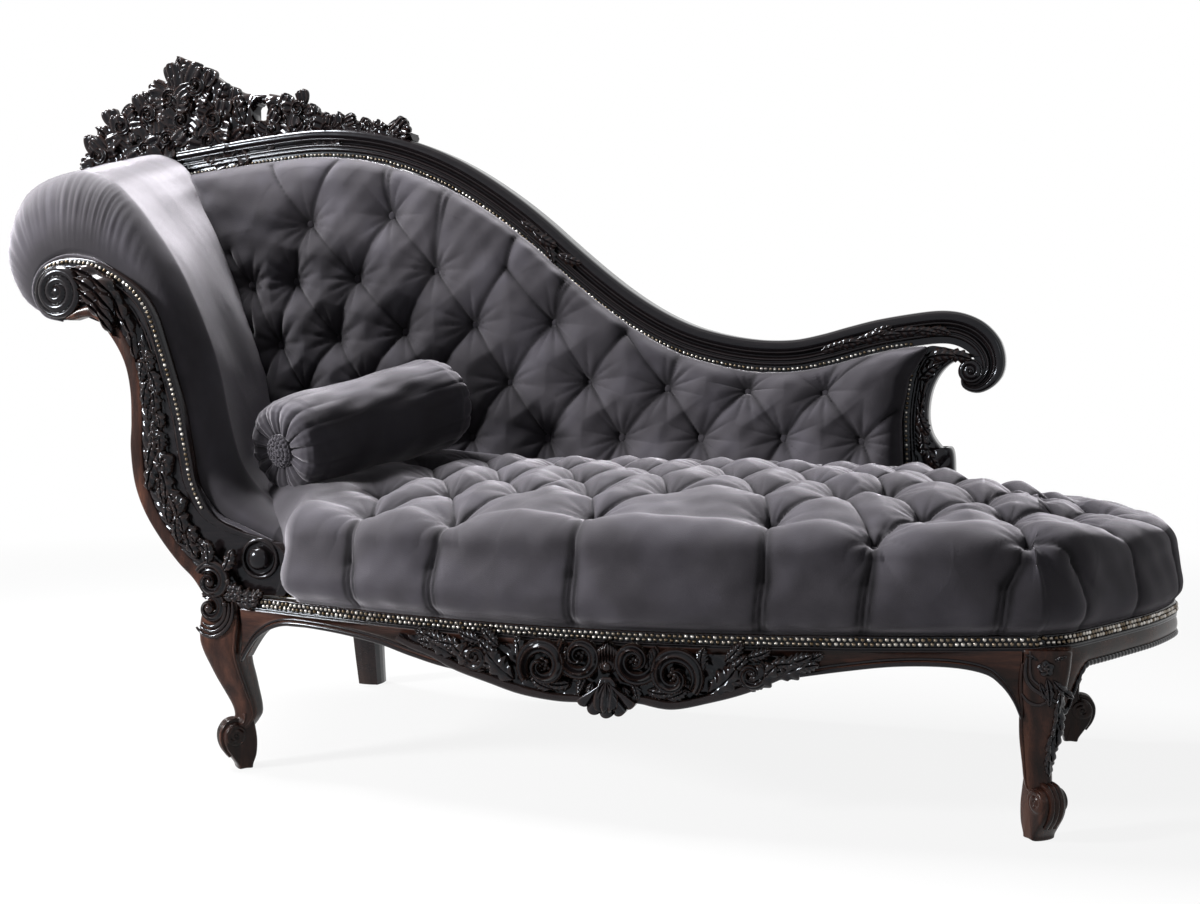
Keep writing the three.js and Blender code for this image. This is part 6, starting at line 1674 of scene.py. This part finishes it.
def apron():
    """The apron: a rough ground between the rail and a swagged rim, and on it from the middle out, in
    mirror image, two large scrolls with berries in them and a small one, sheathed in leaves."""
    low = fair(APRON_LOW, 300)
    x = low[:, 0]
    top = front_rail_top(x) - 25
    share = np.linspace(0, 1, 40)[None]
    z = low[:, 1:] + (top[:, None] - low[:, 1:]) * share
    wide_x = np.broadcast_to(x[:, None], z.shape)
    ground = 6.5 + 1.6 * ripple(np.stack([wide_x, z], -1), 16, 91) + 4 * smoothstep(0.16 - share, 0, 0.1)
    front = np.stack([wide_x, front_edge_y(wide_x) - ground, z], -1)
    back = np.stack([wide_x, front_edge_y(wide_x) - 0.6, z], -1)
    parts = [slab(front, back)]
    # the smooth rim along its lower edge, in two swags
    for swag in (low[:150], low[149:]):
        rim = fair(swag[::6], 130)
        path = on_front(rim + [0, 2.0], front_edge_y(rim[:, 0]) - 9.5)
        thin = 3.0 + 3.4 * np.sin(np.linspace(0.2, math.pi - 0.3, 130)) ** 0.5
        parts.append(tube(path, thin, 14))
    seat, over = on_bow(8.0), on_bow(13.0)
    middle = 611.0
    for side, hand in ((-1, 1), (1, -1)):
        drop = 0 if side < 0 else 3
        berries = []

        def mirrored(shape, dx, z, way, size, lift, rise):
            """Adds a leaf at a distance from the middle on this side."""
            turn = way if side > 0 else math.pi - way
            parts.append(laid(shape, (middle + side * dx, z - drop), turn, size, seat, lift=lift, rise=rise))

        for dx, z, turns, curl, way, size, lift, rise, spread, count in (
            (37, 219, 1.45, hand, math.pi / 2 - side * 0.9, 31, 2.0, 1.3, 7, 5),
            (87, 203, 1.35, -hand, -math.pi / 2 + side * 0.9, 35, 2.0, 1.25, 9, 8),
            (186, 208, 1.3, hand, math.pi / 2 - side * 0.6, 20, 1.0, 1.2, 5, 3),
        ):
            x, z = middle + side * dx, z - drop
            parts.append(laid(scroll(turns, curl, 0.36), (x, z), way, size, over, lift=lift, rise=rise))
            for k in range(count):
                turn, reach = 2.4 * k, spread * math.sqrt((k + 0.3) / count)
                place = (x + reach * math.cos(turn), z + reach * math.sin(turn))
                berries.append(berry(place, 4.4 - 0.15 * k, over, 1.5))
        parts += berries
        # leaves that sheathe the scrolls' stems, then broad ones that run out from them
        for dx, dz, way, size, bend in (
            (62, 196, 2.2, 34, -0.9), (50, 182, -0.4, 34, 0.7), (112, 182, 2.8, 36, -0.9), (124, 206, 1.9, 34, -0.8),
            (140, 190, 0.55, 42, -0.6), (148, 206, 0.35, 40, 0.7), (150, 222, 0.6, 34, 0.5),
            (168, 190, 0.25, 44, 0.5), (196, 200, 0.75, 34, -0.6), (206, 218, 0.35, 38, -0.4),
            (222, 222, 0.15, 40, 0.4), (236, 214, 0.5, 34, -0.4), (250, 228, 0.15, 26, 0.5),
            (20, 186, -1.2, 26, -0.5), (30, 192, -0.9, 26, -0.6), (76, 172, 0.2, 30, 0.5), (176, 228, 0.1, 34, 0.5),
        ):
            mirrored(leaf(5, side * bend, 0.6, 0.24, 24, 13), dx, dz, way, size, 2.0 + (dx % 7) * 0.5, 1.0)
        for dx, dz, way, size, bend in (
            (128, 180, 0.45, 52, 0.6), (176, 192, 0.45, 48, 0.35), (216, 206, 0.35, 40, 0.3),
        ):
            mirrored(leaf(3, side * bend, 0.9, 0.3, 26, 15), dx, dz, way, size, 3.0, 0.8)
    # the middle: a sheaf of reeds opening upwards, a bead, and a shell hanging down over the rim
    for k in range(-3, 4):
        reed, place = leaf(2, 0.25 * k, 0.3, 0.12, 24, 9), (middle + 1.5 * k, 196)
        parts.append(laid(reed, place, math.pi / 2 - 0.17 * k, 44 - 2 * abs(k), over, lift=2))
    parts.append(berry((middle, 207), 6.5, over, 7.0))
    parts.append(laid(shell(9, 0.95), (middle, 190), math.pi, 45, over, lift=2.0, rise=1.1))
    parts.append(laid(fan_leaf(3, 0.34, 0.0, 0.9), (middle, 196), -math.pi / 2, 48, over, lift=6.0))
    return together(*parts)


piece("apron_leaves", apron(), EBONY, ["apron_carving"], crease=50)


# Pierced crest --------------------

CREST_TOP = [
    (-588, 972), (-570, 1005), (-546, 1036), (-520, 1048), (-486, 1065), (-450, 1090), (-420, 1112), (-388, 1136),
    (-366, 1139), (-338, 1128), (-300, 1103), (-267, 1086), (-245, 1080), (-205, 1078), (-168, 1069), (-140, 1060),
    (-112, 1044), (-90, 1032), (-55, 1030), (-29, 1021), (12, 1010), (50, 1003), (72, 996),
]
CREST_LOW = [
    (-590, 935), (-560, 915), (-520, 900), (-470, 900), (-420, 925), (-380, 945), (-338, 962), (-290, 970),
    (-240, 972), (-180, 976), (-120, 980), (-60, 984), (0, 986), (40, 986), (72, 984),
]
CREST_HOLE = (-224.0, 1046.0)
HOLE_HALF_WIDTH, HOLE_HALF_HEIGHT = 17.5, 16.5
CURLS = np.array(
    [
        (-405, 1078), (-381, 1037), (-314, 1037), (-508, 1032), (-458, 989), (-557, 978), (-411, 1005), (-323, 998),
        (-144, 1047), (-196, 1012), (-86, 1006), (-282, 979), (-350, 1100), (-450, 1050),
    ],
    float,
)


def folds(flat):
    """Swirling folds between the leaves: |sin| of 2 * turn + distance / 7 about the nearest curls, blended
    by how near each is."""
    d = flat[..., None, :] - CURLS
    reach = np.linalg.norm(d, axis=-1)
    weight = np.exp(-((reach / 34) ** 2)) + 1e-6
    phase = 2 * np.arctan2(d[..., 1], d[..., 0]) + reach / 7
    mixed = np.sum(weight * np.abs(np.sin(phase)), -1) / np.sum(weight, -1)
    return mixed**0.8


def crest_ground(top, low):
    """A board between an upper and a lower edge, rounded at its edges, with folds over its front."""
    share = np.linspace(0, 1, 26)[None]
    flat = low[:, None] + (top - low)[:, None] * share[..., None]
    rim = np.minimum(share, 1 - share) * np.linalg.norm(top - low, axis=1)[:, None]
    out = 4 + 7 * folds(flat) * smoothstep(rim, 0, 8) - 3 * (1 - smoothstep(rim, 0, 6))
    return slab(on_front(flat, 519.0 - out), on_front(flat, 548.0 - 5 * (1 - smoothstep(rim, 0, 8))))


def crest():
    """The crest: its ground, which leaves an oval hole open, leaves whose tips make its outline, curls in
    whorls of folded leaves, and sprays that rise between them."""
    top, low = fair(CREST_TOP, 300), fair(CREST_LOW, 300)
    x = top[:, 0]
    low = columns_at(x, low[:, 0], low)
    near = np.abs(x - CREST_HOLE[0]) < HOLE_HALF_WIDTH
    first, last = np.argmax(near), len(near) - np.argmax(near[::-1])
    rise = np.sqrt(np.clip(1 - ((x - CREST_HOLE[0]) / HOLE_HALF_WIDTH) ** 2, 0, 1))
    rise = rise * (HOLE_HALF_HEIGHT + 1.5 * np.sin(x * 0.9))
    over, under = top.copy(), top.copy()
    over[:, 1], under[:, 1] = CREST_HOLE[1] + rise, CREST_HOLE[1] - rise
    parts = [
        crest_ground(top[: first + 1], low[: first + 1]),
        crest_ground(top[last - 1 :], low[last - 1 :]),
        crest_ground(top[first:last], over[first:last]),
        crest_ground(under[first:last], low[first:last]),
    ]
    seat = flat_at(516.0)
    rng = np.random.default_rng(97)

    def clear(place, size, way):
        """Whether a leaf keeps off the hole."""
        root = np.array(place)
        tip = root + size * np.array([math.cos(way), math.sin(way)])
        nearest = min(np.linalg.norm(root * (1 - k) + tip * k - CREST_HOLE) for k in (0, 0.33, 0.66, 1))
        return nearest > 16 + 0.3 * size

    def add(broad, place, way, size, bend, lift, wide=0.42, rise=1.0):
        """Adds a broad or a slender leaf with two or three folds, if it keeps off the hole."""
        if clear(place, size, way):
            count = int(rng.integers(2, 4))
            shape = fan_leaf(count, wide * 0.86, bend, 0.9) if broad else leaf(count, bend, 0.9, wide * 0.66, 20, 11)
            parts.append(laid(shape, place, way, size, seat, lift=lift, rise=rise))

    # leaves whose tips make the outline
    tips = [
        (-586, 976, 2.9, 50), (-573, 1004, 2.5, 52), (-552, 1034, 2.2, 50), (-522, 1050, 1.9, 48),
        (-490, 1066, 2.1, 48), (-462, 1084, 2.3, 44), (-436, 1108, 2.3, 50), (-404, 1136, 2.0, 56),
        (-374, 1146, 1.55, 58), (-344, 1134, 1.1, 56), (-318, 1112, 0.8, 46), (-294, 1098, 1.2, 44),
        (-268, 1088, 1.0, 38), (-246, 1086, 1.7, 30), (-200, 1084, 1.2, 34), (-184, 1078, 0.8, 34),
        (-160, 1068, 0.7, 36), (-136, 1060, 0.9, 36), (-108, 1046, 0.6, 36), (-88, 1036, 1.1, 28),
        (-62, 1036, 1.5, 28), (-36, 1030, 0.5, 30), (-8, 1020, 0.6, 28), (22, 1014, 0.4, 30), (54, 1006, 0.1, 34),
        (70, 1000, -0.1, 34),
    ]
    for k, (x, z, way, size) in enumerate(tips):
        root = (x - 0.94 * size * math.cos(way), z - 0.94 * size * math.sin(way))
        add(k % 3 < 2, root, way, size, (-1) ** k * 0.35, 2.0 + 3 * (k % 2))
    # curls: a rolled heart in a whorl of folded leaves
    for k, (x, z) in enumerate(CURLS):
        big = 1.0 if x < -250 else 0.75
        hand = -1 if k % 2 else 1
        for j in range(4):
            way = 0.9 + 1.57 * j + 0.6 * k
            root = (x + 5 * math.cos(way), z + 5 * math.sin(way))
            add(True, root, way, 40 * big, hand * 1.0, 5.0 + 1.5 * (j % 2), 0.48, 1.1)
        parts.append(laid(scroll(1.4, hand, 0.4), (x, z), 0.8 * k, 20 * big, seat, lift=9.0, rise=1.3))
        parts.append(berry((x, z), 4.6 * big, seat, 12.0))
    # sprays that rise from the rail between the curls
    for k in range(38):
        x = rng.uniform(-560, 40)
        high, floor = np.interp(x, *top.T), np.interp(x, *low.T)
        z = floor + (high - floor) * rng.uniform(0.02, 0.62)
        way = math.pi / 2 - 0.9 * np.clip((x + 330) / 250, -1, 1) + rng.normal() * 0.5
        size = rng.uniform(36, 56) * (1.0 if x < -250 else 0.66)
        add(k % 2 == 0, (x, z), way, size, rng.uniform(-0.8, 0.8), rng.uniform(2, 7))
    return together(*parts)


piece("crest_leaves", crest(), EBONY, ["crest_carving"], crease=50)


# Nail heads --------------------


def studs(path, out, seed, start):
    """Domed nail heads at even distances along a path: four rings of eight points, a crown and a base,
    of radius times cosine and sine, each with a seeded tone and set a little off the line."""
    radius, pitch = 2.9, 7.4
    run = run_of(path)
    at = np.arange(start, run[-1], pitch)
    place = columns_at(at, run, path)
    out = unit(columns_at(at, run, np.broadcast_to(out, path.shape)))
    rng = np.random.default_rng(seed)
    place = place + rng.normal(size=place.shape) * 0.22
    first = unit(np.cross(out, [0.1, 0.2, 0.97]))
    second = np.cross(out, first)
    turn = full_turn(8)
    ring = np.cos(turn)[None, :, None] * first[:, None] + np.sin(turn)[None, :, None] * second[:, None]
    dome = np.array([(1.0, -1.0), (1.02, 0.12), (0.8, 0.55), (0.42, 0.84)])[None, :, None]
    rings = place[:, None, None] + radius * (dome[..., :1] * ring[:, None] + dome[..., 1:] * out[:, None, None])
    crown = place + out * radius * 0.94
    base = place - out * radius
    points = np.concatenate([rings.reshape(len(at), -1, 3), crown[:, None], base[:, None]], 1)
    c = np.arange(8)
    nxt = (c + 1) % 8
    gap = np.full(8, -1)
    caps = [np.stack([24 + c, 24 + nxt, np.full(8, 32), gap], 1), np.stack([nxt, c, np.full(8, 33), gap], 1)]
    one = turned_out(points[0], np.concatenate([grid_faces(4, 8, wrap=True), *caps]))
    step = (np.arange(len(at)) * 34)[:, None, None]
    faces = np.where(one[None] < 0, -1, one[None] + step).reshape(-1, 4)
    tone = np.repeat(rng.uniform(0, 1, len(at)), 34)
    foot = np.concatenate([np.ones(8), np.full(8, 0.8), np.full(8, 0.1), np.zeros(9), [1.0]])
    return points.reshape(-1, 3), faces, {"tone": tone, "foot": np.tile(foot, len(at))}


def row_on_plan(plan, out, heights, proud):
    """A row's path along a rail, out from its plan line and up at the given heights, and its facing."""
    path = np.concatenate([plan + out * proud, np.broadcast_to(heights, len(plan))[:, None]], 1)
    return path, np.concatenate([out, np.full((len(out), 1), 0.12)], 1)


def row_on_front(line, inwards, y):
    """A row's path on a front face, at a distance to the right hand of a line in it, and its facing."""
    return on_front(line + right_of(line) * inwards, y), (0, -1, 0)


def nails(name, rows, seed, node_name):
    """One piece of nails: each row starts 1 mm along its path, every second one half a step later."""
    heads = [studs(path, out, seed + i, 1.0 + 3.7 * (i % 2)) for i, (path, out) in enumerate(rows)]
    piece(name, together(*heads), NAILS, [node_name])


by_front = np.flatnonzero(edge_plan[:, 0] > 76)[0]
by_foot = np.flatnonzero(edge_plan[:, 0] > 1146)[0]
plan, out, top = (v[by_front : by_foot + 1] for v in (edge_plan, edge_out, edge_top))
front_rows = [row_on_plan(plan, out, top - 3.8, 3.0), row_on_plan(plan, out, top - 9.6, 3.2)]
nails("seat_nails_front", front_rows, 201, "seat_nail_strip_front")
plan, out = edge_plan[by_foot:], edge_out[by_foot:]
foot_rows = [row_on_plan(plan, out, 258.2, 3.0), row_on_plan(plan, out, 252.4, 3.2)]
nails("seat_nails_foot", foot_rows, 211, "seat_nail_strip_foot")
nails("arm_nails", [row_on_front(fair(FACING_UPPER, 420)[32:305], 6.4, -18.6)], 221, "arm_nail_strip")
nails("back_nails", [row_on_front(rail_line[rail_line[:, 0] < 940], 21.2, 504.6)], 231, "back_nail_strip")
nails("stile_nails", [row_on_front(fair(STILE_LEFT[2:-1], 160)[:135], -6.0, 504.2)], 241, "stile_nail_strip")


# The CAD pieces that stay, with their finishes --------------------

CORNERS = ("front_head", "front_foot", "back_head", "back_foot")
FINISH_OF_NODES = [
    (BEECH, ["back_stuffing_rail", "arm_top_rail", "arm_lower_rail"]),
    (MAHOGANY_LEG[0], ["back_seat_rail", "arm_rear_support"]),
    # the back head leg is the same mahogany as the other legs; its near-black ebonised finish is painted shade
    (EBONY[0], ["back_head_leg"]),
    (BEECH, [f"{kind}_{i}" for kind in ("back_post", "seat_cross_brace") for i in (1, 2, 3)]),
    (BEECH, [f"corner_block_{corner}" for corner in CORNERS]),
    (STEEL, [f"seat_spring_{i}" for i in range(1, 9)]),
    (JUTE, ["seat_webbing", "spring_deck"]),
    (LINING, ["dust_cover"]),
]
for made, names in FINISH_OF_NODES:
    for name in names:
        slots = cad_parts[name].data.materials
        slots.clear()
        slots.append(made)


# Floor, lights and camera --------------------


def looking_rays(tree):
    """1 for rays from the camera, in gloss or through glass, and 0 for the ones that gather light."""
    rays = node(tree, "LightPath")
    seen = node(tree, "Math", {0: rays["Is Camera Ray"], 1: rays["Is Glossy Ray"]}, operation="MAXIMUM")[0]
    return node(tree, "Math", {0: seen, 1: rays["Is Transmission Ray"]}, operation="MAXIMUM")[0]


def pale(name, colour, glow):
    """A matt white ground: it shows white to the camera and in gloss, and takes the object's shadow."""
    made, tree, place = finish(name)
    # the shadow fades out between 1.7 and 3.2 m from the middle, so that the ground has no far edge
    away = node(tree, "VectorMath", {0: place}, operation="LENGTH")["Value"]
    level = node(tree, "MapRange", {"Value": away, "From Min": 1.7, "From Max": 3.2, "To Min": glow, "To Max": 1.0})
    share = node(tree, "Math", {0: looking_rays(tree), 1: level[0]}, operation="MULTIPLY")[0]
    matt = node(tree, "BsdfDiffuse", {"Color": shade(colour)})[0]
    light = node(tree, "Emission", {"Color": (1, 1, 1, 1), "Strength": 1.0})[0]
    node(tree, "OutputMaterial", {"Surface": node(tree, "MixShader", {0: share, 1: matt, 2: light})[0]})
    return made


def studio_floor():
    """A level square of floor, 12 m each way, at the feet."""
    mesh = bpy.data.meshes.new("studio_floor")
    half = 6.0
    corners = [(-half, -half, 0), (half, -half, 0), (half, half, 0), (-half, half, 0)]
    mesh.from_pydata(corners, [], [(0, 1, 2, 3)])
    mesh.materials.append(pale("white_paper_floor", "#c4c4c4", 0.88))
    made = bpy.data.objects.new("studio_floor", mesh)
    bpy.context.scene.collection.objects.link(made)


studio_floor()


def lamp(name, place, aim, size, power, spread=180.0):
    """A square soft light at a place in metres, turned to face its aim."""
    light = bpy.data.lights.new(name, "AREA")
    light.shape = "RECTANGLE"
    light.size, light.size_y = size
    light.energy = power
    light.spread = math.radians(spread)
    made = bpy.data.objects.new(name, light)
    made.location = place
    x, y, z = np.array(aim, float) - np.array(place, float)
    made.rotation_euler = (math.atan2(math.hypot(x, y), -z), 0, math.atan2(y, x) - math.pi / 2)
    bpy.context.scene.collection.objects.link(made)


lamp("overhead_softbox", (-1.42, 0.0, 2.4), (0.15, -0.05, 0.4), (1.0, 0.7), 150, 150.0)
lamp("front_left_key", (-2.2, -2.0, 1.5), (-0.5, -0.2, 0.5), (0.45, 0.45), 36, 80.0)
lamp("right_fill", (2.6, -2.0, 1.4), (0.1, 0.0, 0.5), (0.4, 0.9), 4)

world = bpy.data.worlds.new("white_studio")
bpy.context.scene.world = world
world.use_nodes = True
sky = world.node_tree
sky.nodes.clear()
# white where it is looked at, and a faint fill light for everything else
level = node(sky, "MapRange", {"Value": looking_rays(sky), "To Min": 0.075, "To Max": 1.0})[0]
back = node(sky, "Background", {"Strength": level, "Color": (1, 1, 1, 1)})[0]
node(sky, "OutputWorld", {"Surface": back})

view = bpy.data.cameras.new("photograph")
view.lens = 45
view.sensor_width = 36
camera = bpy.data.objects.new("photograph", view)
camera.location = (0.7928, -2.1834, 0.600)
camera.rotation_euler = (math.radians(86.5), 0, math.radians(17))
bpy.context.scene.collection.objects.link(camera)
bpy.context.scene.camera = camera
bpy.context.scene.view_settings.view_transform = "Standard"
